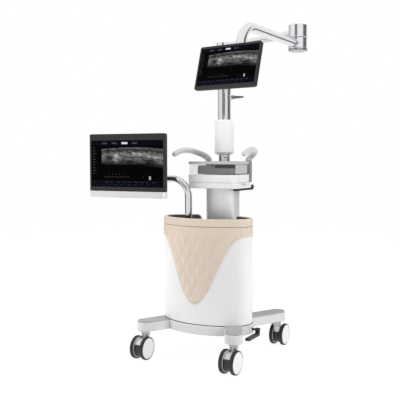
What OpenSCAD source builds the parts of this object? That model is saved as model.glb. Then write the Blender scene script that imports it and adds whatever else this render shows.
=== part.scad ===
// Automated breast ultrasound system: a wheeled stand with a tub cabinet, a lift column, a deck
// with a smoked tray, a main monitor on a bent tube and a second monitor on a two-link overhead arm.
// Millimetres, +Z up, the user stands at -Y. The base's own centre stands at stand_x, stand_y.

/* [Castors] */
// Distance between the left and right castor stems
track_w = 536; // [500:2:600]
// Distance between the front and rear castor stems
stem_base = 564; // [540:2:620]
// Diameter over the tyre
wheel_d = 125; // [110:1:130]
// Width of one wheel
wheel_w = 22; // [18:1:26]
// Clear width between the two wheels of a castor
wheel_gap = 42; // [38:1:50]
// Distance from the swivel axis to the wheel axle
castor_trail = 36; // [30:1:40]
// Thickness of the tyre on its hub
tyre_t = 7; // [4:0.5:12]
// Diameter of a wheel axle
axle_d = 10; // [8:1:14]
// Diameter of the swivel pin in the leg
swivel_pin_d = 24; // [16:1:30]

/* [Base] */
// Height of the base's underside above the floor
base_under = 150; // [145:1:170]
// Thickness of the base casting
base_t = 50; // [44:1:60]
// Width of a leg
leg_w = 94; // [80:1:104]
// Angle of each leg from the front-to-back direction
leg_splay = 27; // [22:1:32]
// Thickness of the grey pad on top of each leg
leg_pad_t = 6; // [3:0.5:8]
// How far the base stands out past the cabinet all round
base_lip = 10; // [4:1:14]

/* [Cabinet] */
// Width of the cabinet
cab_w = 522; // [500:2:540]
// Depth of the cabinet
cab_d = 307; // [296:1:316]
// Radius of the cabinet's rounded left and right ends
cab_end_r = 105; // [96:1:112]
// How far the cabinet's centre stands in front of the base's centre
cab_forward = 68; // [60:1:76]
// Thickness of the cabinet's white wall
cab_wall = 4; // [3:0.5:5]
// Height of the white shell above the base
shell_h = 524; // [500:2:560]
// Height of the beige rim band
rim_h = 42; // [34:1:50]
// Thickness of the beige rim band
rim_t = 12; // [8:1:14]
// Depth of the tub below the rim's top edge
tub_depth = 115; // [90:1:130]
// Thickness of the tub liner
tub_wall = 3; // [2:0.5:4]
// Thickness of the beige front shield
shield_t = 2.5; // [2:0.5:4]
// Height of the shield's lowest point above the base
shield_rise = 110; // [90:2:130]
// Height of the shield's side edges above its lowest point
shield_sweep = 360; // [330:2:370]
// Width of the rear housing past the lift column on each side
housing_side = 47; // [40:1:60]
// Height of the rear housing
housing_h = 498; // [470:2:520]

/* [Lift column] */
// Width of the moving column
column_w = 196; // [184:1:200]
// Depth of the moving column
column_d = 144; // [136:1:148]
// Distance from the base's centre back to the column's axis
column_back = 115; // [112:1:120]
// Height of the deck's underside
deck_under = 920; // [910:1:950]
// Wall of the moving column
column_wall = 5; // [3:0.5:7]

/* [Deck] */
// Width of the deck
deck_w = 295; // [280:1:310]
// Distance from the base's centre forward to the deck's front edge
deck_front = 40; // [34:1:44]
// Front-to-back length of the upper slab and tray
deck_l = 207; // [200:1:210]
// Front-to-back length of the lower slab
deck_lower_l = 236; // [232:1:240]
// Thickness of the lower slab
lower_t = 32; // [28:1:36]
// Thickness of the upper slab
upper_t = 43; // [38:1:48]
// Height of the smoked tray's walls
tray_h = 57; // [56:1:64]
// Height of the pale rim on the tray's walls
tray_rim_h = 16; // [8:1:20]
// Reach of each handle to the side
handle_out = 87; // [70:1:100]
// Front-to-back length of each handle
handle_l = 241; // [200:1:260]
// Rise of each handle over its root
handle_rise = 60; // [50:1:80]
// Thickness of the smoked tray's walls
tray_wall = 4; // [3:0.5:6]
// Radius of the deck's corners
deck_r = 26; // [18:1:32]

/* [Mast] */
// Distance from the base's centre back to the mast's axis
mast_back = 130; // [126:1:131]
// Diameter of the mast's neck
neck_d = 63; // [56:1:66]
// Height of the neck's top
neck_top = 1106; // [1096:1:1112]
// Diameter of the white sleeve
sleeve_d = 111; // [100:1:116]
// Height of the white sleeve
sleeve_h = 198; // [180:1:210]
// Diameter of the chrome pole
pole_d = 77; // [70:1:84]
// Height of the chrome pole's top
pole_top = 1530; // [1510:1:1540]
// Wall of the chrome pole
pole_wall = 4; // [3:0.5:5]
// Height of the lock lever on the pole
lever_z = 1430; // [1400:1:1450]

/* [Overhead arm] */
// Height of the first link's centre
link_one_z = 1716; // [1700:1:1730]
// Length of the first link, axis to axis
link_one_l = 553; // [500:1:600]
// Direction of the first link, in degrees from +X
link_one_deg = -21; // [-30:0.1:-10]
// Diameter of the first link
link_one_d = 40; // [34:1:44]
// Height of the second link's centre
link_two_z = 1660; // [1658:1:1664]
// Length of the second link to the gooseneck's vertical part
link_two_l = 618; // [560:1:660]
// Direction of the second link, in degrees from +X
link_two_deg = -91.9; // [-100:0.1:-80]
// Diameter of the second link and gooseneck
link_two_d = 44; // [38:1:46]
// Radius of the gooseneck's bend
goose_r = 110; // [90:1:130]
// Height of the gooseneck's lower end
goose_end_z = 1508; // [1500:1:1520]
// Diameter of the elbow
elbow_d = 96; // [88:1:104]

/* [Top monitor] */
// Width of the top monitor
top_w = 303; // [290:1:330]
// Height of the top monitor
top_h = 193; // [180:1:205]
// Thickness of the top monitor's edge
top_t = 18; // [14:1:24]
// Turn of the top monitor about the vertical, in degrees
top_yaw = -6.6; // [-20:0.1:20]
// Backward lean of the top monitor, in degrees
top_lean = 15.6; // [5:0.1:20]
// Distance from the gooseneck's axis forward to the tilt axis
top_reach = 54; // [50:1:60]
// Height of the top monitor's tilt axis
top_tilt_z = 1457; // [1450:1:1460]

/* [Main monitor] */
// Width of the main monitor
main_w = 486; // [470:1:500]
// Height of the main monitor's dark front
main_glass_h = 323; // [310:1:335]
// Height of the white bar under it
main_bar_h = 36; // [30:1:42]
// Thickness of the main monitor
main_t = 30; // [26:1:36]
// Height of the main monitor's middle
main_z = 1044.5; // [1040:0.5:1060]
// Turn of the main monitor about the vertical, in degrees
main_yaw = 4.8; // [-5:0.1:8]
// Distance from the tilt axis to the monitor's back
main_tilt_gap = 31; // [30:1:36]

/* [Monitor tube] */
// Diameter of the bent chrome tube
tube_d = 40; // [34:1:42]
// Distance from the base's centre left to the tube's upright part
tube_left = 116; // [112:1:122]
// Distance from the base's centre forward to the tube's upright part
tube_forward = 78; // [72:1:84]
// Radius of the tube's bend
tube_bend_r = 102; // [90:1:110]
// Height of the tube's level part
tube_z = 972; // [966:1:976]
// Distance from the tube's upright part left to the monitor's swivel axis
tube_reach = 337; // [325:1:345]
// How far that swivel axis stands further forward
tube_step = 21; // [10:1:30]

/* [Hidden] */
housing_w = column_w + 2 * housing_side;
$fn = 96;
tau_deg = 360;

// Where the base's centre stands, so that the origin is under the middle of the whole machine
stand_x = 24.8;
stand_y = 225.6;

// Overrun of a cut, and the small clearances
cut = 1;
run_fit = 0.05;
slide_fit = 0.3;
seam = 1.5;
skin_gap = 0.2;
face_gap = 0.4;

// Castors
wheel_r = wheel_d / 2;
hub_r = wheel_r - tyre_t;
axle_r = axle_d / 2;
swivel_pin_r = swivel_pin_d / 2;
fork_side_gap = 1;
fork_w = wheel_gap - 2 * fork_side_gap;
fork_r = 48;
fork_head_r = 23;
fork_neck_h = 26;
fork_stem_r = 19;
swivel_pin_l = 34;
hub_cap_t = 6;
hub_dish = 2;
hub_lip = 4;
tyre_chamfer = 4;

// Base
base_top = base_under + base_t;
leg_r = leg_w / 2;
leg_l = 290;
pocket_wall = 14;
pocket_depth = 34;
pad_inset = 3;
shaft_r = 6;
shaft_rise = 26;
shaft_z = base_under + shaft_rise;
pedal_w = 24;
pedal_t = 14;
pedal_drop = 24;
pedal_reach = 124;
pedal_pad_t = 16;
pedal_gap = 20;
pedal_r = 11;

// Cabinet plan: two end arcs and two long arcs that meet them smoothly
cab_half_w = cab_w / 2;
cab_half_d = cab_d / 2;
cab_c = cab_half_w - cab_end_r;
cab_long_r = (cab_c * cab_c + cab_half_d * cab_half_d - cab_end_r * cab_end_r)
  / (2 * (cab_half_d - cab_end_r));
shell_z = base_top;
shell_top = shell_z + shell_h;
rim_z = shell_top + seam;
rim_top = rim_z + rim_h;
rim_ledge = 1;
tub_z = rim_top - tub_depth;
tub_floor_t = 4;
tub_lip_drop = 4;
column_clear = 12;
tub_channel_top = 712;
notch_clear = 14;
notch_half_w = column_w / 2 + notch_clear;
notch_r = 26;
notch_low = 700;
notch_front = 15;
shield_z = base_top + shield_rise;
shield_steps = 22;
shield_width_share = 1.06;

// Rear housing
housing_wall = 4;
housing_back = 200;
housing_r = 30;
housing_front = 20;
housing_z = base_top;
vent_count = 9;
vent_w = 150;
vent_t = 5;
vent_pitch = 13;
vent_drop = 178;
vent_z = housing_z + housing_h - vent_drop;
hook_z = 263;
hook_h = 103;
hook_out = 20;
hook_bar = 8;
hook_deep = 18;
hook_back = 192;
inlet_in = 6;
inlet_left = column_w / 2 - inlet_in;
inlet_w = 38;
inlet_h = 28;
inlet_deep = 18;
inlet_lip = 3;
inlet_lip_t = 2.5;
inlet_z = 300;
inlet_mouth_w = 27;
inlet_mouth_h = 18;
inlet_mouth_deep = 14;
inlet_pin_w = 2;
inlet_pin_h = 5;
inlet_pin_step = 7;
screw_r = 3;
screw_head_r = 5;
screw_head_t = 3;
screw_l = 8;
screw_side = 25;
screw_rise = 40;
screw_drop = 38;
screw_inset_x = housing_w / 2 - screw_side;
screw_low_z = housing_z + screw_rise;
screw_high_z = housing_z + housing_h - screw_drop;

// Lift column
foot_gap = 0.5;
foot_wall = 5;
foot_top = 640;
column_low = 330;
column_cap_t = 14;
actuator_r = 30;
actuator_low = base_top;
actuator_top = 620;
actuator_floor_t = 20;
motor_w = 60;
motor_h = 110;
rod_r = 14;
rod_low = 330;

// Inner frame and boxes
frame_half_w = 150;
frame_back = 5;
frame_l = 155;
frame_h = 400;
frame_t = 3;
shelf_z = 400;
computer_w = 280;
computer_l = 140;
computer_h = 170;
power_w = 260;
power_l = 140;
power_h = 150;

// Deck
deck_back = deck_l - deck_front;
lower_back = deck_lower_l - deck_front;
lower_top = deck_under + lower_t;
deck_top = lower_top + seam + upper_t;
seam_inset = 3;
grip_l = 96;
grip_h = 16;
grip_deep = 12;
grip_back = 100;
tray_inset = 1.5;
tray_floor_t = 4;
tray_floor = deck_top + tray_floor_t;
tray_top = deck_top + tray_h;
rim_high = tray_top + tray_rim_h;
tray_rim_w = 9;
tray_corner_r = deck_r - tray_inset;
insert_free_w = 57.5;
insert_side_gap = 4;
insert_left = deck_w / 2 - insert_free_w;
insert_right = deck_w / 2 - tray_inset - tray_wall - insert_side_gap;
insert_l = 124;
insert_h = 32;
insert_step_left = 10;
insert_gap = 0.5;
insert_head_gap = 1;
insert_r = tray_corner_r - tray_wall - insert_gap;
insert_front = deck_front - tray_inset - tray_wall - insert_gap;
insert_top = tray_top - insert_head_gap;
mast_notch_w = 84;
block_l = 27;
block_h = 118;
block_r = 10;
block_gap = 1.5;
block_top = lower_top + block_h;
handle_root_in = 18.5;
handle_root_x = deck_w / 2 - handle_root_in;
handle_root_back = 181;
handle_root_r = 19;
handle_tip_r = 15;
handle_sides = 18;
handle_steps = 3;
handle_cap_steps = 4;
handle_cap_deg = 22;
handle_boss_r = 22;
handle_boss_h = 6;
handle_foot_t = 3.5;

// Mast
mast_flange_r = 36;
mast_flange_t = 11;
sleeve_low_r = 40;
sleeve_taper_h = 17;
sleeve_round = 8;
sleeve_top = neck_top + sleeve_h;
pole_r = pole_d / 2;
pole_bore_r = pole_r - pole_wall;
pole_lip_t = 12;
pole_lip = 3;
pole_lip_r = pole_r + pole_lip;
neck_plug_h = 24;
inner_r = pole_bore_r - run_fit;
inner_wall = 5;
inner_low = 1330;
shoulder_gap = 1.5;
shoulder_r = 46;
shoulder_foot = 3;
shoulder_low = link_one_z - link_one_d / 2 - shoulder_foot;
shoulder_top = link_one_z + link_one_d / 2;
shoulder_pin_r = 15;
lug_w = 18;
lug_t = 5;
lug_gap = 16;
lever_pin_x = 52;
lever_pin_r = 3;
lever_root_r = 8.5;
lever_arm_x = 63;
lever_tip_x = 114;
lever_thick_r = 12;
lever_thin_r = 7;

// Knob on the tray insert
knob_x = 38;
knob_back = 70;
knob_foot_r = 17;
knob_foot_h = 6;
knob_waist_r = 8;
knob_waist_low = 20;
knob_waist_high = 38;
knob_head_r = 12;
knob_head_h = 12;
knob_round = 3;
knob_pin_r = 5;
knob_pin_l = 14;

// Release lever under the deck's right side
release_off = 20;
release_x = column_w / 2 + release_off;
release_w = 28;
release_t = 9;
release_gap = 3;
release_front = 8;
release_back = 209;
release_end_r = 12;
release_pin_r = 4;
release_lug_t = 9;
release_lug_r = 9;
release_lug_deep = release_back - lower_back;

// Overhead arm
elbow_r = elbow_d / 2;
elbow_head = 5;
elbow_foot = 2;
elbow_high = link_one_z + link_one_d;
elbow_mid = link_one_z - link_one_d / 2 - elbow_head;
elbow_low = link_two_z - link_two_d / 2 - elbow_foot;
elbow_pin_r = 16;
elbow_pin_stop = 8;
elbow_cap_t = 11;
elbow_cap_gap = 3;
elbow_cap_lip = 2;
link_one_r = link_one_d / 2;
link_two_r = link_two_d / 2;
wrist_r = 24;
wrist_pin_r = 10;
wrist_pin_l = 30;
yoke_w = 36;
yoke_r = 14;
ear_t = 8;
tilt_pin_r = 5;

// Top monitor, built about its tilt axis
top_front = 52;
top_r = 8;
top_glass_t = 3;
top_bulge_w = 190;
top_bulge_h = 120;
top_bulge_t = 10;
top_plate_w = 84;
top_plate_t = 3;

// Main monitor, built about its tilt axis
main_r = 9;
main_glass_t = 4;
main_bulge_w = 300;
main_bulge_h = 190;
main_bulge_t = 8;
main_plate_w = 120;
main_plate_t = 4;
main_seam = 0.4;
main_h = main_glass_h + main_bar_h;
head_r = 28;
head_rise = 26;
head_low = tube_z - head_rise;
head_high = tube_z + head_rise;
head_pin_r = 14;
head_swivel_gap = 0.6;
head_back = 46;
head_yoke_w = 44;
head_yoke_r = 17;
head_ear_t = 9;
head_tilt_r = 6;
socket_r = 32;
socket_h = 46;
socket_floor_t = 6;
tube_low = tub_z + tub_floor_t + socket_floor_t;
tube_turn = atan2(tube_step, tube_reach);
tube_run = norm([tube_reach, tube_step]);

mast_y = mast_back;
column_y = column_back;
cab_y = -cab_forward;
elbow_x = link_one_l * cos(link_one_deg);
elbow_y = mast_y + link_one_l * sin(link_one_deg);
goose_x = elbow_x + link_two_l * cos(link_two_deg);
goose_y = elbow_y + link_two_l * sin(link_two_deg);
head_x = -tube_left - tube_reach;
head_y = -tube_forward - tube_step;
release_z = deck_under - release_gap - release_t / 2 + release_end_r;

white = "#F1F1F0";
beige = "#DCC7B5";
grey = "#A8A8A8";
chrome = "#C9CBCC";
black = "#202020";

module in_frame() {
  translate([stand_x, stand_y, 0]) children();
}

// The cabinet's plan, drawn in by t all round
module cabinet_plan(t = 0) {
  meet_x = (cab_long_r - t) * cab_c / (cab_long_r - cab_end_r);
  translate([0, cab_y]) union() {
    intersection() {
      translate([0, cab_half_d - cab_long_r]) circle(r = cab_long_r - t);
      translate([0, cab_long_r - cab_half_d]) circle(r = cab_long_r - t);
      square([2 * meet_x, 2 * cab_d], center = true);
    }
    for (s = [-1, 1]) translate([s * cab_c, 0]) circle(r = cab_end_r - t);
  }
}

// The column's plan, grown by t all round
module column_plan(t = 0) {
  side = (column_w - column_d) / 2;
  translate([0, column_y]) union() {
    for (s = [-1, 1]) translate([s * side, 0]) circle(r = column_d / 2 + t);
    square([2 * side, column_d + 2 * t], center = true);
  }
}

module round_rect(x0, y0, x1, y1, r) {
  union() {
    for (x = [x0 + r, x1 - r], y = [y0 + r, y1 - r]) translate([x, y]) circle(r = r);
    translate([x0 + r, y0]) square([x1 - x0 - 2 * r, y1 - y0]);
    translate([x0, y0 + r]) square([x1 - x0, y1 - y0 - 2 * r]);
  }
}

module box(x0, y0, z0, x1, y1, z1) {
  translate([x0, y0, z0]) cube([x1 - x0, y1 - y0, z1 - z0]);
}

// The notch in the tub's rear wall that the column rises behind
module rear_notch() {
  translate([0, housing_back, 0]) rotate([90, 0, 0]) linear_extrude(housing_back - notch_front)
    union() {
      translate([-notch_half_w, notch_low]) square([2 * notch_half_w, rim_top + cut - notch_low]);
      for (s = [-1, 1]) difference() {
        translate([s * (notch_half_w + notch_r / 2), rim_top - notch_r / 2 + cut / 2])
          square([notch_r, notch_r + cut], center = true);
        translate([s * (notch_half_w + notch_r), rim_top - notch_r]) circle(r = notch_r);
      }
    }
}

function leg_angle(sx, sy) = atan2(-sy * cos(leg_splay), -sx * sin(leg_splay));

module leg_plan(sx, sy, inset = 0) {
  translate([sx * track_w / 2, sy * stem_base / 2]) rotate(leg_angle(sx, sy)) union() {
    circle(r = leg_r - inset);
    translate([0, inset - leg_r]) square([leg_l, leg_w - 2 * inset]);
  }
}

// The base's plan under the cabinet and the rear housing, drawn in by t all round
module base_plan(t = 0) {
  cabinet_plan(t - base_lip);
  side = housing_w / 2 + base_lip - t;
  round_rect(-side, cab_y, side, housing_back + base_lip - t, housing_r);
}

module base_casting() color(white) difference() {
  translate([0, 0, base_under]) linear_extrude(base_t) union() {
    base_plan();
    for (sx = [-1, 1], sy = [-1, 1]) leg_plan(sx, sy);
  }
  translate([0, 0, base_under - cut]) linear_extrude(pocket_depth + cut) base_plan(pocket_wall);
  for (sx = [-1, 1], sy = [-1, 1])
    translate([sx * track_w / 2, sy * stem_base / 2, base_under - cut])
      cylinder(r = swivel_pin_r + run_fit, h = swivel_pin_l + 2 * cut);
  translate([0, cab_y, shaft_z]) rotate([0, 90, 0]) cylinder(r = shaft_r + run_fit, h = cab_w);
}

module leg_pads() color(grey) for (sx = [-1, 1], sy = [-1, 1])
  translate([0, 0, base_top]) linear_extrude(leg_pad_t) difference() {
    leg_plan(sx, sy, pad_inset);
    base_plan();
  }

module brake_pedal() color(black) {
  pad_x0 = cab_half_w + base_lip + pedal_gap;
  pad_x1 = pad_x0 + pedal_w;
  translate([cab_half_w - pocket_wall - pedal_gap, cab_y, shaft_z]) rotate([0, 90, 0])
    cylinder(r = shaft_r, h = pad_x1 - cab_half_w + pocket_wall + pedal_gap);
  translate([pad_x0, cab_y, 0]) rotate([90, 0, 90]) linear_extrude(pedal_w) union() {
    translate([0, shaft_z]) circle(r = pedal_r);
    translate([-pedal_t / 2, shaft_z - pedal_drop]) square([pedal_t, pedal_drop]);
    translate([0, shaft_z - pedal_drop]) circle(r = pedal_t / 2);
    translate([-pedal_reach, shaft_z - pedal_drop - pedal_pad_t / 2])
      square([pedal_reach, pedal_pad_t]);
    translate([-pedal_reach, shaft_z - pedal_drop]) circle(r = pedal_pad_t / 2);
  }
}

module cabinet_shell() color(white) difference() {
  translate([0, 0, shell_z]) linear_extrude(shell_h) difference() {
    cabinet_plan(0);
    cabinet_plan(cab_wall);
    translate([-housing_w / 2 + housing_wall, 0])
      square([housing_w - 2 * housing_wall, housing_back]);
  }
  rear_notch();
}

// The shield's lower edge: a bell curve from its lowest point up to its side edges
function shield_edge(u) = (1 - cos(tau_deg / 2 * min(1, shield_width_share * u))) / 2;
shield_side = cab_half_w + shield_t + cut;

module front_shield() color(beige) intersection() {
  translate([0, 0, base_top]) linear_extrude(shell_top - base_top) difference() {
    cabinet_plan(-shield_t);
    cabinet_plan(-skin_gap);
    translate([-housing_w / 2 - skin_gap, 0]) square([housing_w + 2 * skin_gap, housing_back]);
  }
  translate([0, housing_back, 0]) rotate([90, 0, 0]) linear_extrude(housing_back + cab_d)
    polygon(concat(
      [for (i = [-shield_steps : shield_steps]) [shield_side * i / shield_steps,
        shield_z + shield_sweep * shield_edge(abs(i) / shield_steps)]],
      [[shield_side, shell_top + cut], [-shield_side, shell_top + cut]]));
}

module rim_band() color(beige) difference() {
  translate([0, 0, rim_z]) linear_extrude(rim_h) difference() {
    cabinet_plan(-shield_t);
    cabinet_plan(rim_t);
  }
  rear_notch();
}

module tub_liner() color(black) difference() {
  union() {
    translate([0, 0, tub_z]) linear_extrude(tub_depth - tub_lip_drop)
      cabinet_plan(rim_t + skin_gap);
    translate([0, 0, shell_top]) linear_extrude(seam) cabinet_plan(rim_ledge);
  }
  translate([0, 0, tub_z + tub_floor_t]) linear_extrude(tub_depth) difference() {
    cabinet_plan(rim_t + skin_gap + tub_wall);
    column_plan(column_clear + tub_wall);
  }
  translate([0, 0, tub_z - cut]) linear_extrude(tub_depth + 2 * cut) column_plan(column_clear);
  rear_notch();
  box(-notch_half_w, notch_front, tub_channel_top, notch_half_w, housing_back, rim_top + cut);
}

module rear_housing() color(white) difference() {
  translate([0, 0, housing_z]) linear_extrude(housing_h)
    round_rect(-housing_w / 2, -housing_front, housing_w / 2, housing_back, housing_r);
  translate([0, 0, housing_z - cut]) linear_extrude(housing_h - housing_wall + cut)
    round_rect(housing_wall - housing_w / 2, -2 * housing_front, housing_w / 2 - housing_wall,
      housing_back - housing_wall, housing_r - housing_wall);
  translate([0, 0, housing_z - cut]) linear_extrude(housing_h + 2 * cut) cabinet_plan(-skin_gap);
  translate([0, 0, housing_z]) linear_extrude(housing_h + cut) column_plan(column_clear);
  for (i = [0 : vent_count - 1])
    box(-vent_w / 2, housing_back - 2 * housing_wall, vent_z + i * vent_pitch, vent_w / 2,
      housing_back + cut, vent_z + i * vent_pitch + vent_t);
  translate([-inlet_left, 0, 0]) box(-inlet_w / 2, housing_back - 2 * housing_wall, inlet_z,
    inlet_w / 2, housing_back + cut, inlet_z + inlet_h);
  for (s = [-1, 1], z = [screw_low_z, screw_high_z])
    translate([s * screw_inset_x, housing_back + cut, z]) rotate([90, 0, 0])
      cylinder(r = screw_r, h = 2 * housing_wall);
}

module housing_screws() color(chrome) for (s = [-1, 1], z = [screw_low_z, screw_high_z])
  translate([s * screw_inset_x, housing_back, z]) rotate([-90, 0, 0]) union() {
    cylinder(r1 = screw_head_r, r2 = screw_head_r - screw_head_t / 2, h = screw_head_t);
    translate([0, 0, -screw_l]) cylinder(r = screw_r, h = screw_l);
  }

module cord_hook() color(white) difference() {
  x0 = housing_w / 2;
  y0 = hook_back - hook_deep - housing_r / 2;
  translate([0, y0, 0]) rotate([90, 0, 0]) translate([0, 0, -hook_deep])
    linear_extrude(hook_deep)
      round_rect(x0 - hook_out, hook_z, x0 + hook_out, hook_z + hook_h, hook_bar);
  translate([0, y0 - cut, 0]) rotate([90, 0, 0]) translate([0, 0, -hook_deep - 2 * cut])
    linear_extrude(hook_deep + 2 * cut)
      round_rect(x0 - hook_out, hook_z + hook_bar, x0 + hook_out - hook_bar,
        hook_z + hook_h - hook_bar, hook_bar / 2);
  box(x0 - 2 * hook_out, 0, hook_z - cut, x0, housing_back, hook_z + hook_h + cut);
}

module power_inlet() color(black) translate([-inlet_left, 0, 0]) difference() {
  union() {
    box(skin_gap - inlet_w / 2, housing_back - inlet_deep, inlet_z + skin_gap,
      inlet_w / 2 - skin_gap, housing_back, inlet_z + inlet_h - skin_gap);
    box(-inlet_w / 2 - inlet_lip, housing_back, inlet_z - inlet_lip, inlet_w / 2 + inlet_lip,
      housing_back + inlet_lip_t, inlet_z + inlet_h + inlet_lip);
  }
  difference() {
    box(-inlet_mouth_w / 2, housing_back - inlet_mouth_deep,
      inlet_z + (inlet_h - inlet_mouth_h) / 2, inlet_mouth_w / 2,
      housing_back + inlet_lip_t + cut, inlet_z + (inlet_h + inlet_mouth_h) / 2);
    for (i = [-1, 0, 1])
      box(i * inlet_pin_step - inlet_pin_w / 2, housing_back - inlet_deep,
        inlet_z + (inlet_h - inlet_pin_h) / 2, i * inlet_pin_step + inlet_pin_w / 2,
        housing_back, inlet_z + (inlet_h + inlet_pin_h) / 2);
  }
}

module column_foot() color(grey) translate([0, 0, base_top])
  linear_extrude(foot_top - base_top) difference() {
    column_plan(foot_gap + foot_wall);
    column_plan(foot_gap);
  }

module lift_actuator() color(black) difference() {
  union() {
    translate([0, column_y, actuator_low]) cylinder(r = actuator_r, h = actuator_top - actuator_low);
    box(-motor_w / 2, column_y - motor_w / 2, actuator_low, motor_w / 2,
      column_y + motor_w / 2, actuator_low + motor_h);
  }
  translate([0, column_y, actuator_low + actuator_floor_t])
    cylinder(r = rod_r + run_fit, h = actuator_top);
}

module actuator_rod() color(chrome) translate([0, column_y, rod_low])
  cylinder(r = rod_r, h = deck_under - column_cap_t - rod_low);

module inner_frame() color(grey) {
  y0 = -frame_back - frame_l;
  box(-frame_half_w, y0, base_top, frame_half_w, -frame_back, base_top + frame_t);
  for (s = [-1, 1])
    box(min(s * frame_half_w, s * (frame_half_w - frame_t)), y0, base_top,
      max(s * frame_half_w, s * (frame_half_w - frame_t)), -frame_back, base_top + frame_h);
  box(-frame_half_w, y0, shelf_z, frame_half_w, -frame_back, shelf_z + frame_t);
}

module computer_unit() color("#5A6068") {
  y1 = -frame_back - (frame_l - computer_l) / 2;
  box(-computer_w / 2, y1 - computer_l, shelf_z + frame_t, computer_w / 2, y1,
    shelf_z + frame_t + computer_h);
}

module power_unit() color("#707478") {
  y1 = -frame_back - (frame_l - power_l) / 2;
  box(-power_w / 2, y1 - power_l, base_top + frame_t, power_w / 2, y1,
    base_top + frame_t + power_h);
}

module lift_column() color("#C4C4C6") {
  translate([0, 0, column_low]) linear_extrude(deck_under - column_low) difference() {
    column_plan(0);
    column_plan(-column_wall);
  }
  translate([0, 0, deck_under - column_cap_t]) linear_extrude(column_cap_t) column_plan(0);
}

module deck_lower() color(white) difference() {
  union() {
    translate([0, 0, deck_under]) linear_extrude(lower_t)
      round_rect(-deck_w / 2, -deck_front, deck_w / 2, lower_back, deck_r);
    translate([0, 0, deck_under]) linear_extrude(lower_t + seam)
      round_rect(seam_inset - deck_w / 2, seam_inset - deck_front, deck_w / 2 - seam_inset,
        deck_back - seam_inset, deck_r - seam_inset);
  }
  for (s = [-1, 1])
    translate([s * deck_w / 2, grip_back, lower_top - grip_h])
      linear_extrude(grip_h + seam + cut) union() {
        square([2 * grip_deep, grip_l - 2 * grip_deep], center = true);
        for (e = [-1, 1]) translate([0, e * (grip_l / 2 - grip_deep)]) circle(r = grip_deep);
      }
}

module release_lug() color(white)
  translate([release_x - slide_fit, 0, 0]) rotate([0, -90, 0]) {
    linear_extrude(release_lug_t) union() {
      translate([release_z, release_back]) circle(r = release_lug_r);
      translate([release_z - release_lug_r, release_back - release_lug_deep])
        square([2 * release_lug_r, release_lug_deep]);
    }
    translate([release_z, release_back, -release_w - slide_fit])
      cylinder(r = release_pin_r, h = release_w + slide_fit + cut);
  }

module deck_upper() color(white)
  translate([0, 0, deck_under + lower_t + seam]) linear_extrude(upper_t)
    round_rect(-deck_w / 2, -deck_front, deck_w / 2, deck_back, deck_r);

module tray_plan(t = 0) {
  round_rect(t + tray_inset - deck_w / 2, t + tray_inset - deck_front,
    deck_w / 2 - tray_inset - t, deck_back - tray_inset - t, tray_corner_r - t);
}

// The gap in the tray's back wall and rim that the mast's neck stands in
module mast_notch() {
  translate([-mast_notch_w / 2, deck_back - block_l, tray_floor])
    cube([mast_notch_w, 2 * block_l, rim_high]);
}

module smoked_tray() color([0.5, 0.5, 0.52, 0.4]) difference() {
  translate([0, 0, deck_top]) linear_extrude(tray_h) tray_plan(0);
  translate([0, 0, tray_floor]) linear_extrude(tray_h) tray_plan(tray_wall);
  mast_notch();
}

module tray_rim() color(grey) difference() {
  translate([0, 0, tray_top]) linear_extrude(tray_rim_h) difference() {
    tray_plan(-tray_inset);
    tray_plan(tray_rim_w);
  }
  mast_notch();
}

module tray_insert() color(black) difference() {
  union() {
    translate([0, 0, tray_floor]) linear_extrude(insert_h)
      round_rect(-insert_left, -insert_front, insert_right, insert_l - insert_front, insert_r);
    translate([0, 0, tray_floor]) linear_extrude(insert_top - tray_floor)
      round_rect(insert_step_left, -insert_front, insert_right, insert_l - insert_front, insert_r);
  }
  translate([knob_x, knob_back, insert_top - knob_pin_l - cut])
    cylinder(r = knob_pin_r + run_fit, h = knob_pin_l + 2 * cut);
}

module rear_block() color("#6A6A6C") translate([0, 0, lower_top]) linear_extrude(block_h)
  round_rect(-deck_w / 2, deck_back + block_gap, deck_w / 2, deck_back + block_gap + block_l,
    block_r);

// The handle's centre line from its root up, out and forward, as shares of its three sizes
handle_shares = [
  [0, 0, 0], [0.02, 0, 0.12], [0.1, 0.005, 0.26], [0.31, 0.033, 0.5], [0.59, 0.124, 0.72],
  [0.79, 0.282, 0.92], [0.9, 0.465, 1], [0.955, 0.664, 0.97], [0.985, 0.85, 0.81], [1, 1, 0.61]
];
handle_path = [for (s = handle_shares) [handle_root_x + s[0] * handle_out,
  handle_root_back - s[1] * handle_l, block_top + handle_foot_t + s[2] * handle_rise]];
function spline(p, i, t) =
  let (n = len(p) - 1, a = p[max(0, i - 1)], b = p[i], c = p[min(n, i + 1)], d = p[min(n, i + 2)])
  0.5 * (2 * b + (c - a) * t + (2 * a - 5 * b + 4 * c - d) * t * t
    + (3 * b - a - 3 * c + d) * t * t * t);
function unit(v) = v / norm(v);

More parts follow.
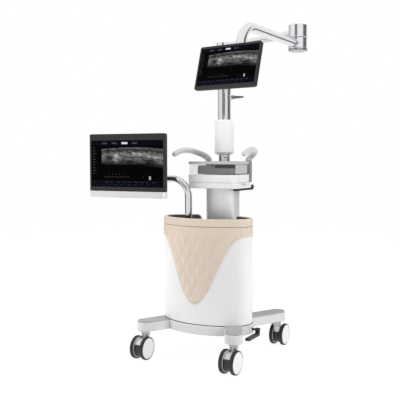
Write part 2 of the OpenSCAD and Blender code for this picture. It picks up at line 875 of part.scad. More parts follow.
module swept_bar(path, r0, r1, side_axis) {
  n = len(path) - 1;
  mid = [for (i = [0 : n - 1], k = [0 : handle_steps - 1]) spline(path, i, k / handle_steps)];
  line = concat(mid, [path[n]]);
  last = len(line) - 1;
  tip_dir = unit(line[last] - line[last - 1]);
  caps = [for (k = [1 : handle_cap_steps]) line[last] + tip_dir * r1 * sin(k * handle_cap_deg)];
  cap_r = [for (k = [1 : handle_cap_steps]) r1 * cos(k * handle_cap_deg)];
  ring = concat(line, caps);
  radius = concat([for (i = [0 : last]) r0 + (r1 - r0) * i / last], cap_r);
  m = len(ring);
  dir = [for (i = [0 : m - 1]) unit(ring[min(m - 1, i + 1)] - ring[max(0, i - 1)])];
  points = [for (i = [0 : m - 1])
    let (u = unit(cross(dir[i], side_axis)), v = cross(dir[i], u))
    for (j = [0 : handle_sides - 1])
      ring[i] + radius[i] * (cos(j * tau_deg / handle_sides) * u
        + sin(j * tau_deg / handle_sides) * v)];
  sides = [for (i = [0 : m - 2], j = [0 : handle_sides - 1])
    let (k = (j + 1) % handle_sides)
    [i * handle_sides + j, (i + 1) * handle_sides + j, (i + 1) * handle_sides + k,
      i * handle_sides + k]];
  ends = [[for (j = [0 : handle_sides - 1]) j],
    [for (j = [handle_sides - 1 : -1 : 0]) (m - 1) * handle_sides + j]];
  polyhedron(points = points, faces = concat(sides, ends), convexity = 4);
}

module handle(s) color(grey) {
  translate([s * handle_root_x, handle_root_back, block_top])
    cylinder(r = handle_boss_r, h = handle_boss_h);
  swept_bar([for (p = handle_path) [s * p[0], p[1], p[2]]], handle_root_r, handle_tip_r, [1, 0, 0]);
}

module mast_neck() color(white) translate([0, mast_y, 0]) {
  translate([0, 0, tray_floor]) cylinder(r = mast_flange_r, h = mast_flange_t);
  translate([0, 0, tray_floor]) cylinder(r = neck_d / 2, h = neck_top - tray_floor);
  translate([0, 0, neck_top]) cylinder(r = pole_bore_r, h = neck_plug_h);
}

module mast_sleeve() color(white) translate([0, mast_y, 0]) rotate_extrude() difference() {
  union() {
    polygon([[0, neck_top], [sleeve_low_r, neck_top], [sleeve_d / 2, neck_top + sleeve_taper_h],
      [sleeve_d / 2, sleeve_top - sleeve_round], [0, sleeve_top - sleeve_round]]);
    translate([0, sleeve_top - sleeve_round]) square([sleeve_d / 2 - sleeve_round, sleeve_round]);
    translate([sleeve_d / 2 - sleeve_round, sleeve_top - sleeve_round]) intersection() {
      circle(r = sleeve_round);
      square([sleeve_round, sleeve_round]);
    }
  }
  translate([0, neck_top - cut]) square([pole_r, sleeve_h + 2 * cut]);
}

module mast_pole() color(chrome) translate([0, mast_y, 0]) {
  difference() {
    union() {
      translate([0, 0, neck_top]) cylinder(r = pole_r, h = pole_top - neck_top);
      translate([0, 0, pole_top - pole_lip_t]) cylinder(r = pole_lip_r, h = pole_lip_t);
      box(0, -lug_w / 2, lever_z - lug_gap / 2 - lug_t, lever_pin_x, lug_w / 2,
        lever_z + lug_gap / 2 + lug_t);
      translate([lever_pin_x, 0, lever_z - lug_gap / 2 - lug_t])
        cylinder(r = lug_w / 2, h = lug_gap + 2 * lug_t);
    }
    translate([0, 0, neck_top - cut]) cylinder(r = pole_bore_r, h = pole_top);
    box(pole_r + face_gap, -lug_w, lever_z - lug_gap / 2, lever_pin_x + lug_w, lug_w,
      lever_z + lug_gap / 2);
  }
  translate([lever_pin_x, 0, lever_z - lug_gap / 2 - lug_t]) cylinder(r = lever_pin_r,
    h = lug_gap + 2 * lug_t);
}

module mast_lever() color(black) translate([0, mast_y, lever_z]) difference() {
  union() {
    translate([lever_pin_x, 0, face_gap - lug_gap / 2])
      cylinder(r = lever_root_r, h = lug_gap - 2 * face_gap);
    box(lever_pin_x, -lever_root_r, face_gap - lug_gap / 2, lever_arm_x, lever_root_r,
      lug_gap / 2 - face_gap);
    translate([lever_arm_x, 0, 0]) rotate([0, 90, 0])
      cylinder(r1 = lever_thick_r, r2 = lever_thin_r, h = lever_tip_x - lever_arm_x);
    translate([lever_tip_x, 0, 0]) sphere(r = lever_thin_r);
  }
  translate([lever_pin_x, 0, -lug_gap]) cylinder(r = lever_pin_r + run_fit, h = 2 * lug_gap);
}

module neck_knob() color(chrome) translate([knob_x, knob_back, insert_top]) rotate_extrude()
  polygon([[0, -knob_pin_l], [knob_pin_r, -knob_pin_l], [knob_pin_r, face_gap],
    [knob_foot_r, face_gap], [knob_foot_r, knob_foot_h], [knob_waist_r, knob_waist_low],
    [knob_waist_r, knob_waist_high], [knob_head_r, knob_waist_high + knob_round],
    [knob_head_r, knob_waist_high + knob_head_h - knob_round],
    [knob_head_r - knob_round, knob_waist_high + knob_head_h], [0, knob_waist_high + knob_head_h]]);

module release_lever() color(black) {
  z1 = deck_under - release_gap;
  translate([release_x + release_w, 0, 0]) rotate([0, -90, 0]) linear_extrude(release_w)
    difference() {
      union() {
        translate([z1 - release_t, release_front])
          square([release_t, release_back - release_front]);
        translate([z1 - release_t / 2, release_front]) circle(r = release_t / 2);
        translate([release_z, release_back]) circle(r = release_end_r);
      }
      translate([release_z, release_back]) circle(r = release_pin_r + run_fit);
    }
}

module mast_inner() color(chrome) translate([0, mast_y, 0]) {
  difference() {
    translate([0, 0, inner_low]) cylinder(r = inner_r, h = shoulder_low - shoulder_gap - inner_low);
    translate([0, 0, inner_low - cut])
      cylinder(r = inner_r - inner_wall, h = shoulder_low - inner_low - 4 * inner_wall);
  }
  translate([0, 0, shoulder_low - shoulder_gap - cut])
    cylinder(r = shoulder_pin_r, h = link_one_d + shoulder_gap + cut);
}

// A pipe that runs l0 along +X, bends down and runs on for l1
module bent_pipe(l0, bend_r, l1, r) {
  rotate([0, 90, 0]) cylinder(r = r, h = l0);
  translate([l0, 0, -bend_r]) rotate([90, 0, 0]) rotate_extrude(angle = 90)
    translate([bend_r, 0]) circle(r = r);
  translate([l0 + bend_r, 0, -bend_r - l1]) cylinder(r = r, h = l1);
}

module link_one() color(chrome) difference() {
  union() {
    translate([0, mast_y, shoulder_low]) cylinder(r = shoulder_r, h = shoulder_top - shoulder_low);
    translate([elbow_x, elbow_y, elbow_mid]) cylinder(r = elbow_r, h = elbow_high - elbow_mid);
    translate([0, mast_y, link_one_z]) rotate([0, 90, link_one_deg])
      cylinder(r = link_one_r, h = link_one_l);
    translate([elbow_x, elbow_y, elbow_low + elbow_pin_stop])
      cylinder(r = elbow_pin_r, h = elbow_mid - elbow_low);
  }
  translate([0, mast_y, shoulder_low - cut])
    cylinder(r = shoulder_pin_r + run_fit, h = link_one_d + 3 * cut);
}

module link_two() color(chrome) difference() {
  union() {
    translate([elbow_x, elbow_y, elbow_low])
      cylinder(r = elbow_r, h = elbow_mid - seam - elbow_low);
    translate([elbow_x, elbow_y, link_two_z]) rotate([0, 0, link_two_deg])
      bent_pipe(link_two_l - goose_r, goose_r, link_two_z - goose_r - goose_end_z, link_two_r);
  }
  translate([elbow_x, elbow_y, elbow_low - cut])
    cylinder(r = elbow_pin_r + run_fit, h = elbow_mid - elbow_low + 2 * cut);
  translate([goose_x, goose_y, goose_end_z - cut])
    cylinder(r = wrist_pin_r + run_fit, h = wrist_pin_l + cut);
}

module elbow_cap() color(black) translate([elbow_x, elbow_y, elbow_low - elbow_cap_t]) {
  cylinder(r = elbow_r - elbow_cap_lip, h = elbow_cap_gap);
  translate([0, 0, elbow_cap_gap]) cylinder(r = elbow_r, h = elbow_cap_t - elbow_cap_gap);
}

// Each monitor's own frame: X along its tilt axis and Z from that axis to the screen's front
module top_frame() {
  translate([goose_x, goose_y, 0]) rotate([0, 0, top_yaw])
    translate([0, -top_reach, top_tilt_z]) rotate([90 - top_lean, 0, 0]) children();
}

module main_frame() {
  translate([head_x, head_y, 0]) rotate([0, 0, main_yaw]) translate([0, -head_back, main_z])
    rotate([90, 0, 0]) children();
}

// A swivel's head: a block that reaches forward to a tilt axis across it
module tilt_head(reach, z, w, r, hole_r) {
  difference() {
    union() {
      box(-w / 2, -reach, z - r, w / 2, 0, z + r);
      translate([-w / 2, -reach, z]) rotate([0, 90, 0]) cylinder(r = r, h = w);
    }
    translate([-w, -reach, z]) rotate([0, 90, 0]) cylinder(r = hole_r, h = 2 * w);
  }
}

// The plate on a monitor's back, with two ears and the tilt pin between them
module tilt_plate(back, plate_w, plate_t, corner_r, head_w, r, ear, pin_r) {
  inner = head_w / 2 + face_gap;
  translate([0, 0, back - plate_t]) linear_extrude(plate_t)
    round_rect(-plate_w / 2, -plate_w / 2, plate_w / 2, plate_w / 2, corner_r);
  for (s = [-1, 1]) translate([s * (inner + ear / 2) - ear / 2, 0, 0]) rotate([0, 90, 0])
    linear_extrude(ear) union() {
      circle(r = r);
      translate([plate_t - back, -r]) square([back - plate_t, 2 * r]);
    }
  translate([-inner - ear / 2, 0, 0]) rotate([0, 90, 0]) cylinder(r = pin_r, h = 2 * inner + ear);
}

module wrist_swivel() color("#4A4A4C") translate([goose_x, goose_y, 0]) {
  low = top_tilt_z - yoke_r;
  translate([0, 0, low]) cylinder(r = wrist_r, h = goose_end_z - face_gap - low);
  translate([0, 0, low]) cylinder(r = wrist_pin_r, h = goose_end_z + wrist_pin_l - low);
  rotate([0, 0, top_yaw]) tilt_head(top_reach, top_tilt_z, yoke_w, yoke_r, tilt_pin_r + run_fit);
}

module top_outline() {
  round_rect(-top_w / 2, -top_h / 2, top_w / 2, top_h / 2, top_r);
}

module top_screen_back() color(black) top_frame() {
  back = top_front - top_t;
  translate([0, 0, back]) linear_extrude(top_t - top_glass_t) top_outline();
  translate([0, 0, back - top_bulge_t]) linear_extrude(top_bulge_t)
    round_rect(-top_bulge_w / 2, -top_bulge_h / 2, top_bulge_w / 2, top_bulge_h / 2, top_r);
}

module top_screen_glass() color(black) top_frame()
  translate([0, 0, top_front - top_glass_t]) linear_extrude(top_glass_t) top_outline();

module top_screen_plate() color(grey) top_frame()
  tilt_plate(top_front - top_t - top_bulge_t, top_plate_w, top_plate_t, top_r, yoke_w, yoke_r,
    ear_t, tilt_pin_r);

module monitor_arm() color(chrome) difference() {
  union() {
    translate([head_x, head_y, tube_z]) rotate([0, 0, tube_turn])
      bent_pipe(tube_run - tube_bend_r, tube_bend_r, tube_z - tube_bend_r - tube_low, tube_d / 2);
    translate([head_x, head_y, head_low]) cylinder(r = head_r, h = head_high - head_low);
  }
  translate([head_x, head_y, head_low - cut])
    cylinder(r = head_pin_r + run_fit, h = head_high - head_low + 2 * cut);
}

module arm_socket() color(grey) translate([-tube_left, -tube_forward, tub_z + tub_floor_t])
  difference() {
    cylinder(r = socket_r, h = socket_h);
    translate([0, 0, tube_low - tub_z - tub_floor_t - face_gap])
      cylinder(r = tube_d / 2 + run_fit, h = socket_h);
  }

module monitor_head() color("#4A4A4C") translate([head_x, head_y, 0]) {
  low = head_high + head_swivel_gap;
  translate([0, 0, head_low]) cylinder(r = head_pin_r, h = low - head_low);
  translate([0, 0, low]) cylinder(r = head_r, h = main_z + head_yoke_r - low);
  rotate([0, 0, main_yaw])
    tilt_head(head_back, main_z, head_yoke_w, head_yoke_r, head_tilt_r + run_fit);
}

// The main monitor's outline between two heights over its lower edge
module main_outline(low, high) {
  intersection() {
    round_rect(-main_w / 2, -main_h / 2, main_w / 2, main_h / 2, main_r);
    translate([-main_w / 2, low - main_h / 2]) square([main_w, high - low]);
  }
}

module main_screen_back() color(black) main_frame() {
  translate([0, 0, main_tilt_gap]) linear_extrude(main_t - main_glass_t)
    main_outline(main_bar_h + main_seam, main_h);
  translate([0, 0, main_tilt_gap - main_bulge_t]) linear_extrude(main_bulge_t)
    round_rect(-main_bulge_w / 2, -main_bulge_h / 2, main_bulge_w / 2, main_bulge_h / 2, main_r);
}

module main_screen_glass() color(black) main_frame()
  translate([0, 0, main_tilt_gap + main_t - main_glass_t]) linear_extrude(main_glass_t)
    main_outline(main_bar_h + main_seam, main_h);

module main_screen_bar() color(white) main_frame()
  translate([0, 0, main_tilt_gap]) linear_extrude(main_t) main_outline(0, main_bar_h);

module main_screen_plate() color(grey) main_frame()
  tilt_plate(main_tilt_gap - main_bulge_t, main_plate_w, main_plate_t, main_r, head_yoke_w,
    head_yoke_r, head_ear_t, head_tilt_r);

// Castors: sx and sy say which corner, and each wheel pair trails away from the centre
module at_stem(sx, sy) {
  translate([sx * track_w / 2, sy * stem_base / 2, 0]) children();
}

module castor_fork(sx, sy) color(black) at_stem(sx, sy) {
  y_axle = sy * castor_trail;
  translate([-fork_w / 2, y_axle, wheel_r]) rotate([0, 90, 0]) cylinder(r = fork_r, h = fork_w);
  translate([-wheel_gap / 2 - wheel_w + hub_cap_t, y_axle, wheel_r]) rotate([0, 90, 0])
    cylinder(r = axle_r, h = wheel_gap + 2 * (wheel_w - hub_cap_t));
  translate([0, 0, base_under - face_gap - fork_neck_h]) cylinder(r = fork_head_r, h = fork_neck_h);
  translate([0, 0, wheel_r]) cylinder(r = fork_stem_r, h = base_under - fork_neck_h - wheel_r);
  translate([0, 0, base_under - face_gap]) cylinder(r = swivel_pin_r, h = swivel_pin_l);
}

module castor_hubs(sx, sy) color(white) at_stem(sx, sy)
  for (s = [-1, 1]) translate([s * wheel_gap / 2, sy * castor_trail, wheel_r])
    rotate([0, s * 90, 0]) rotate_extrude() difference() {
      polygon([[0, 0], [hub_r, 0], [hub_r, wheel_w - hub_dish], [hub_r - hub_lip, wheel_w],
        [0, wheel_w]]);
      translate([0, -cut]) square([axle_r + run_fit, wheel_w - hub_cap_t + face_gap + cut]);
    }

module castor_tyres(sx, sy) color(black) at_stem(sx, sy)
  for (s = [-1, 1]) translate([s * wheel_gap / 2, sy * castor_trail, wheel_r])
    rotate([0, s * 90, 0]) rotate_extrude()
      polygon([[hub_r, 0], [wheel_r - tyre_chamfer, 0], [wheel_r, tyre_chamfer],
        [wheel_r, wheel_w - tyre_chamfer], [wheel_r - tyre_chamfer, wheel_w - hub_dish],
        [hub_r, wheel_w - hub_dish]]);

in_frame() base_casting();
in_frame() leg_pads();
in_frame() brake_pedal();
in_frame() cabinet_shell();
in_frame() front_shield();
in_frame() rim_band();
in_frame() tub_liner();
in_frame() rear_housing();
in_frame() housing_screws();
in_frame() cord_hook();
in_frame() power_inlet();
in_frame() column_foot();
in_frame() lift_actuator();
in_frame() actuator_rod();
in_frame() inner_frame();
in_frame() computer_unit();
in_frame() power_unit();
in_frame() arm_socket();
in_frame() lift_column();
in_frame() deck_lower();
in_frame() release_lug();
in_frame() release_lever();
in_frame() deck_upper();
in_frame() smoked_tray();
in_frame() tray_rim();
in_frame() tray_insert();
in_frame() neck_knob();
in_frame() rear_block();
in_frame() handle(-1);  // handle_left
in_frame() handle(1);  // handle_right
in_frame() mast_neck();
in_frame() mast_sleeve();
in_frame() mast_pole();
in_frame() mast_lever();
in_frame() mast_inner();
in_frame() link_one();
in_frame() link_two();
in_frame() elbow_cap();
in_frame() wrist_swivel();
in_frame() top_screen_back();
in_frame() top_screen_glass();
in_frame() top_screen_plate();
in_frame() monitor_arm();
in_frame() monitor_head();
in_frame() main_screen_back();
in_frame() main_screen_glass();
in_frame() main_screen_bar();
in_frame() main_screen_plate();
in_frame() castor_fork(-1, -1);  // castor_fl_fork
in_frame() castor_hubs(-1, -1);  // castor_fl_hubs
in_frame() castor_tyres(-1, -1);  // castor_fl_tyres
in_frame() castor_fork(1, -1);  // castor_fr_fork
in_frame() castor_hubs(1, -1);  // castor_fr_hubs
in_frame() castor_tyres(1, -1);  // castor_fr_tyres
in_frame() castor_fork(-1, 1);  // castor_rl_fork
in_frame() castor_hubs(-1, 1);  // castor_rl_hubs
in_frame() castor_tyres(-1, 1);  // castor_rl_tyres
in_frame() castor_fork(1, 1);  // castor_rr_fork
in_frame() castor_hubs(1, 1);  // castor_rr_hubs
in_frame() castor_tyres(1, 1);  // castor_rr_tyres
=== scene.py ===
"""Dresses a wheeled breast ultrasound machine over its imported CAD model, in Blender 4.5."""
import math

import bmesh
import bpy
from mathutils import Matrix, Vector


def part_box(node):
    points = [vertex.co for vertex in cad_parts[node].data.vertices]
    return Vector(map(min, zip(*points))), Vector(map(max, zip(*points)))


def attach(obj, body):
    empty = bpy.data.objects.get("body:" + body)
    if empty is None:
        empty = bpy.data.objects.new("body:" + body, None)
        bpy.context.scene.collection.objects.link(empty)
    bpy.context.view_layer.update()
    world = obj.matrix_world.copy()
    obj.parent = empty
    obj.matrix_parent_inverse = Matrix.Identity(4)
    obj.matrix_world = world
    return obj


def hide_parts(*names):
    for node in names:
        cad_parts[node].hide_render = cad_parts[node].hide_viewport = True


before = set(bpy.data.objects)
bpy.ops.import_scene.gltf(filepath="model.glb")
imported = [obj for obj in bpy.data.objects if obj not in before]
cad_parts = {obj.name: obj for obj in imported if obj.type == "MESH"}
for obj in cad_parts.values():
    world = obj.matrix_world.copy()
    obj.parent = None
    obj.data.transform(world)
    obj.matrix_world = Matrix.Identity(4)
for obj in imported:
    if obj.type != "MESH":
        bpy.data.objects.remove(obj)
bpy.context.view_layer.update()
scene = bpy.context.scene


# Base casting. One aluminium casting with four splayed legs, its edges rounded by the mould,
# powder coated white. The cabinet, the column and the castors bolt into it.
def linear(hex_code):
    """An sRGB hex colour as the linear RGBA that a shader socket holds."""
    shares = [int(hex_code[i:i + 2], 16) / 255 for i in (1, 3, 5)]
    return (*[c / 12.92 if c <= 0.04045 else ((c + 0.055) / 1.055) ** 2.4 for c in shares], 1.0)


def add_node(finish, kind, inputs=None, **settings):
    """Adds a shader node with its settings; an input is a value or another node's output."""
    node = finish.node_tree.nodes.new("ShaderNode" + kind)
    for key, value in settings.items():
        setattr(node, key, value)
    for socket, value in (inputs or {}).items():
        if isinstance(value, bpy.types.NodeSocket):
            finish.node_tree.links.new(value, node.inputs[socket])
        else:
            node.inputs[socket].default_value = value
    return node


def wire(finish, output, socket):
    """Joins a node's output to a socket."""
    finish.node_tree.links.new(output, socket)


def new_finish(name, sockets):
    """A material whose Principled shader starts with these plain values."""
    finish = bpy.data.materials.new(name)
    finish.use_nodes = True
    shader = finish.node_tree.nodes["Principled BSDF"]
    for socket, value in sockets.items():
        shader.inputs[socket].default_value = value
    return finish, shader


def grained(name, pale, dark, rough, grain_mm, depth_mm, coat=0.0, metallic=0.0, blotch_mm=140,
            stretch=(1, 1, 1)):
    """A plastic, paint, rubber or dull metal: its colour drifts slightly over the piece, and a
    grain from the mould, the spray gun or the die lies in its surface and breaks up its gloss."""
    finish, shader = new_finish(name, {"Coat Weight": coat, "Coat Roughness": 0.12, "IOR": 1.5,
                                       "Metallic": metallic})
    place = add_node(finish, "TexCoord").outputs["Object"]
    place = add_node(finish, "Mapping", {"Vector": place, "Scale": stretch}).outputs["Vector"]
    drift = add_node(finish, "TexNoise", {"Vector": place, "Scale": 1000 / blotch_mm,
                                          "Detail": 3.0, "Roughness": 0.5})
    grain = add_node(finish, "TexNoise", {"Vector": place, "Scale": 1000 / grain_mm,
                                          "Detail": 2.0, "Roughness": 0.6})
    tone = add_node(finish, "Mix", {"Factor": drift.outputs["Fac"], 6: linear(dark),
                                    7: linear(pale)}, data_type="RGBA")
    gloss = add_node(finish, "MapRange", {"Value": grain.outputs["Fac"], "To Min": rough - 0.05,
                                          "To Max": rough + 0.07})
    relief = add_node(finish, "Bump", {"Height": grain.outputs["Fac"], "Strength": 0.6,
                                       "Distance": depth_mm / 1000})
    wire(finish, tone.outputs[2], shader.inputs["Base Color"])
    wire(finish, gloss.outputs["Result"], shader.inputs["Roughness"])
    wire(finish, relief.outputs["Normal"], shader.inputs["Normal"])
    return finish


def from_cad(node, weld=2e-5, flat=math.radians(0.3)):
    """A CAD node's mesh, its loose triangles joined and its flat faces made whole."""
    bm = bmesh.new()
    bm.from_mesh(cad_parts[node].data)
    bmesh.ops.remove_doubles(bm, verts=bm.verts, dist=weld)
    bmesh.ops.dissolve_limit(bm, angle_limit=flat, verts=bm.verts, edges=bm.edges)
    return bm


def ease(bm, radius, steps=3, sharp=40, only=None):
    """Rounds the sharp edges, or those of them that only() picks."""
    edges = [e for e in bm.edges if len(e.link_faces) == 2
             and e.calc_face_angle(0) > math.radians(sharp) and (only is None or only(e))]
    bmesh.ops.bevel(bm, geom=edges, offset=radius, offset_type="OFFSET", segments=steps,
                    profile=0.5, affect="EDGES", clamp_overlap=False, material=-1)


def level_edge(e, slack=1e-5):
    """True for an edge that lies level, such as the rim of an upright wall."""
    return abs(e.verts[0].co.z - e.verts[1].co.z) < slack


def settle(bm, name, body, finishes, replaces=(), smooth=32, even=True, weld=2e-6):
    """Ends a piece: faces outwards, shading smooth up to an angle, on its body, for its nodes."""
    bmesh.ops.remove_doubles(bm, verts=bm.verts, dist=weld)
    bmesh.ops.recalc_face_normals(bm, faces=bm.faces)
    mesh = bpy.data.meshes.new(name)
    bm.to_mesh(mesh)
    bm.free()
    for finish in finishes:
        mesh.materials.append(finish)
    mesh.shade_smooth()
    mesh.set_sharp_from_angle(angle=math.radians(smooth))
    piece = bpy.data.objects.new(name, mesh)
    scene.collection.objects.link(piece)
    if even:
        shading = piece.modifiers.new("even_shading", "WEIGHTED_NORMAL")
        shading.keep_sharp = True
    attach(piece, body)
    if replaces:
        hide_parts(*replaces)
    return piece


# The orange peel of the powder is about 1 mm across; it is drawn at 6 mm so that it shows.
powder_coat = grained("powder_coated_aluminium", "#E6E6E6", "#DDDDDD", rough=0.34,
                      grain_mm=6.0, depth_mm=0.1, coat=0.2)
cast_round = 0.006
bm = from_cad("base_casting")
ease(bm, cast_round, steps=4, sharp=50, only=level_edge)
settle(bm, "base_body", "chassis", [powder_coat], ["base_casting"])

# Leg pads. Grey thermoplastic rubber treads glued on top of the legs, with a soft stipple and
# a small radius along their edges.
tread_round = 0.002
# Cast rubber is matt; its stipple, some 4 mm apart, breaks what little sheen it has.
pad_rubber = grained("grey_tread_rubber", "#B6B6B5", "#AAAAA9", rough=0.7,
                     grain_mm=4.0, depth_mm=0.4)
bm = from_cad("leg_pads")
ease(bm, tread_round, only=level_edge)
settle(bm, "leg_treads", "chassis", [pad_rubber], ["leg_pads"])

# Cabinet shell. White ABS moulded as one open tube, satin, with a thin black band round its foot:
# the dark line of the seam on the base, with painted shade where the shell meets it.
shell_round = 0.0012
shade_band_high, shade_band_proud = 0.0035, 0.0012
wall_lean = 0.1
# A polished mould gives the ABS an even satin gloss; its slight waviness is drawn 7 mm wide.
white_abs = grained("white_satin_abs", "#F8F8F7", "#F3F3F2", rough=0.24,
                    grain_mm=7.0, depth_mm=0.02, coat=0.4)
# The band is near black and matt: it paints the seam and the shade at the cabinet's foot.
seam_shade_black = grained("black_seam_shade_band", "#2A2A2B", "#222223", rough=0.6,
                        grain_mm=3.0, depth_mm=0.1)
shell_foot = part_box("cabinet_shell")[0].z
bm = from_cad("cabinet_shell")
ease(bm, shell_round, steps=2, only=level_edge)
settle(bm, "cabinet_wall", "chassis", [white_abs], ["cabinet_shell"])


def slice_at(bm, point, across, dist=1e-6, **clear):
    """Cuts new edges into a mesh along a plane, and clears one side of it where asked."""
    bmesh.ops.bisect_plane(bm, geom=bm.verts[:] + bm.edges[:] + bm.faces[:], dist=dist,
                           plane_co=point, plane_no=across, **clear)


# A thin black band, a little proud of the shell's foot: painted shade, with the seam, where the
# cabinet stands on the base.
bm = from_cad("cabinet_shell")
slice_at(bm, (0, 0, shell_foot + shade_band_high), (0, 0, 1), clear_outer=True)
bmesh.ops.holes_fill(bm, edges=[e for e in bm.edges if e.is_boundary])
bm.normal_update()
for v in bm.verts:
    flat = Vector((v.normal.x, v.normal.y, 0))
    if flat.length > wall_lean:
        v.co += flat.normalized() * shade_band_proud
settle(bm, "cabinet_seam_shade_band", "chassis", [seam_shade_black])

# Front shield. Beige ABS trim that wraps the cabinet, its lower edge a bell curve; its face is
# moulded in low diamond facets about 60 mm wide and 112 mm high.
facet_w, facet_h, facet_rise = 0.060, 0.112, 0.0072
facet_rows = 18
shield_round = 0.0009
front_curve = 0.1535
facing_least, lean_most = 0.5, 0.1
# The same ABS, coloured through and a little glossier, so that each facet takes its own light.
beige_abs = grained("beige_satin_abs", "#EBDCCC", "#E4D1BE", rough=0.22,
                    grain_mm=7.0, depth_mm=0.01, coat=0.5)
cab_mid = (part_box("cabinet_shell")[0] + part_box("cabinet_shell")[1]) / 2
cab_mid.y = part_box("cabinet_shell")[0].y + front_curve
shield_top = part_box("front_shield")[1].z
bm = from_cad("front_shield")
ease(bm, shield_round, steps=2, sharp=50)
lattice = []
for k in range(-facet_rows, facet_rows + 1):
    lattice.append(((cab_mid.x + k * facet_w / 2, 0, 0), (1, 0, 0)))
    lattice.append(((0, 0, shield_top + k * facet_h / 2), (0, 0, 1)))
    for lean in (-1, 1):
        lattice.append(((cab_mid.x + k * facet_w, 0, shield_top),
                        Vector((facet_h, 0, lean * facet_w)).normalized()))
for point, across in lattice:
    slice_at(bm, point, across, dist=1e-5)
bm.normal_update()
for v in bm.verts:
    out = Vector((v.co.x - cab_mid.x, v.co.y - cab_mid.y, 0)).normalized()
    # Only points inside the outer face rise; those of its edges and of the back stay.
    if all(f.normal.dot(out) > facing_least and abs(f.normal.z) < lean_most
           for f in v.link_faces):
        along, up = (v.co.x - cab_mid.x) / facet_w, (v.co.z - shield_top) / facet_h
        s, t = (along + up) % 1, (along - up) % 1
        v.co += out * facet_rise * 2 * min(s, 1 - s, t, 1 - t)
settle(bm, "shield_face", "chassis", [beige_abs], ["front_shield"], smooth=6,
       even=False)

# Rim band. Beige ABS ring clipped on the tub's edge above the shield, its top and bottom
# rounded for the hand.
rim_round = 0.0035
bm = from_cad("rim_band")
ease(bm, rim_round, steps=4, only=level_edge)
settle(bm, "tub_rim", "chassis", [beige_abs], ["rim_band"])

# Tub liner. Deep tray moulded from dark brown-grey ABS, set into the cabinet's mouth, with the
# column's collar in its floor.
liner_round = 0.0008
# An eroded mould leaves it matt, with a grain that holds shadow.
dark_abs = grained("dark_textured_abs", "#524D47", "#47423D", rough=0.5,
                   grain_mm=4.0, depth_mm=0.2)
bm = from_cad("tub_liner")
ease(bm, liner_round, steps=2, only=level_edge)
settle(bm, "tub_inside", "chassis", [dark_abs], ["tub_liner"])

# Rear housing, cord hook and inlet. White ABS cover screwed over the column's foot, with vent
# slots, a hook for the wound cord and a black mains inlet.
cover_round, hook_round, inlet_round = 0.0015, 0.002, 0.0006
bm = from_cad("rear_housing")
ease(bm, cover_round, steps=2, sharp=60)
settle(bm, "rear_cover", "chassis", [white_abs], ["rear_housing"])
bm = from_cad("cord_hook")
ease(bm, hook_round, sharp=60)
settle(bm, "cord_holder", "chassis", [white_abs], ["cord_hook"])
# Black ABS from an eroded mould: a broad grey sheen and no mirror.
black_abs = grained("black_textured_abs", "#242527", "#1C1D1F", rough=0.42,
                    grain_mm=4.0, depth_mm=0.2)
bm = from_cad("power_inlet")
ease(bm, inlet_round, steps=2, sharp=60)
settle(bm, "mains_inlet", "chassis", [black_abs], ["power_inlet"])


# Housing screws. Steel pan heads with a cross recess, chrome plated, driven through the rear
# cover; the outer face of each head is set in a little, to stay inside the CAD's box.
def polished(name, colour, haze_mm, rough_low, rough_high):
    """A mirror metal: only the haze of wiping, in wide soft patches, breaks its reflections."""
    finish, shader = new_finish(name, {"Base Color": linear(colour), "Metallic": 1.0})
    haze = add_node(finish, "TexNoise", {"Vector": add_node(finish, "TexCoord").outputs["Object"],
                                         "Scale": 1000 / haze_mm, "Detail": 4.0})
    gloss = add_node(finish, "MapRange", {"Value": haze.outputs["Fac"], "To Min": rough_low,
                                          "To Max": rough_high})
    wire(finish, gloss.outputs["Result"], shader.inputs["Roughness"])
    return finish


chrome = polished("chrome_plated_steel", "#D9DADC", 50, 0.07, 0.15)
screw_round, face_in = 0.0006, 0.0002
bm = from_cad("housing_screws")
ease(bm, screw_round, steps=2, sharp=30)
screw_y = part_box("housing_screws")[1].y
for v in [v for v in bm.verts if abs(v.co.y - screw_y) < 1e-5]:
    v.co.y -= face_in
settle(bm, "cover_screws", "chassis", [chrome], ["housing_screws"])


# Lift column and what stands inside the cabinet. Anodised aluminium extrusions drawn with faint
# upright lines; the drive, the frame and the two units are steel and cast cases.
def dress(node, finish):
    """A CAD node keeps its mesh and takes this material."""
    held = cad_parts[node].data.materials
    held.clear()
    held.append(finish)


# Anodising makes the drawn metal milky; the lines of the die run up it, drawn 3 mm apart.
satin_aluminium = grained("anodised_aluminium", "#F7F7F8", "#EFEFF1", rough=0.32, grain_mm=3.0,
                          depth_mm=0.03, metallic=0.6, stretch=(1, 1, 0.02))
# Zinc on rolled steel is a pale, dull metal with broad soft clouds.
sheet_steel = grained("zinc_plated_sheet_steel", "#C2C3C4", "#B2B3B5", rough=0.38, grain_mm=8.0,
                      depth_mm=0.05, metallic=0.8)
# Case paint is mid grey and matt.
unit_case = grained("grey_painted_case", "#6B6F75", "#5D6167", rough=0.5,
                    grain_mm=4.0, depth_mm=0.2)
bm = from_cad("lift_column")
settle(bm, "moving_column", "lift", [satin_aluminium], ["lift_column"])
for node, finish in (("column_foot", satin_aluminium), ("lift_actuator", unit_case),
                     ("arm_socket", satin_aluminium), ("release_lug", satin_aluminium),
                     ("inner_frame", sheet_steel), ("computer_unit", unit_case),
                     ("power_unit", unit_case), ("actuator_rod", chrome)):
    dress(node, finish)

# Brake pedal. Steel bar that drops from its shaft and runs forward to a rounded tread, coated in
# black plastic; the shaft turns in the side of the base.
pedal_round = 0.0025
bm = from_cad("brake_pedal")
ease(bm, pedal_round, sharp=50)
settle(bm, "brake_bar", "pedal", [black_abs], ["brake_pedal"])

# Deck. Two white ABS slabs with a shadow gap between them; the lower has finger recesses in
# both sides, whose inner faces are coloured grey as painted shade, and all outer edges have a soft
# radius.
slab_round = 0.0035
recess_skin, recess_deep, recess_half, recess_edge = 0.0015, 0.03, 0.06, 0.004
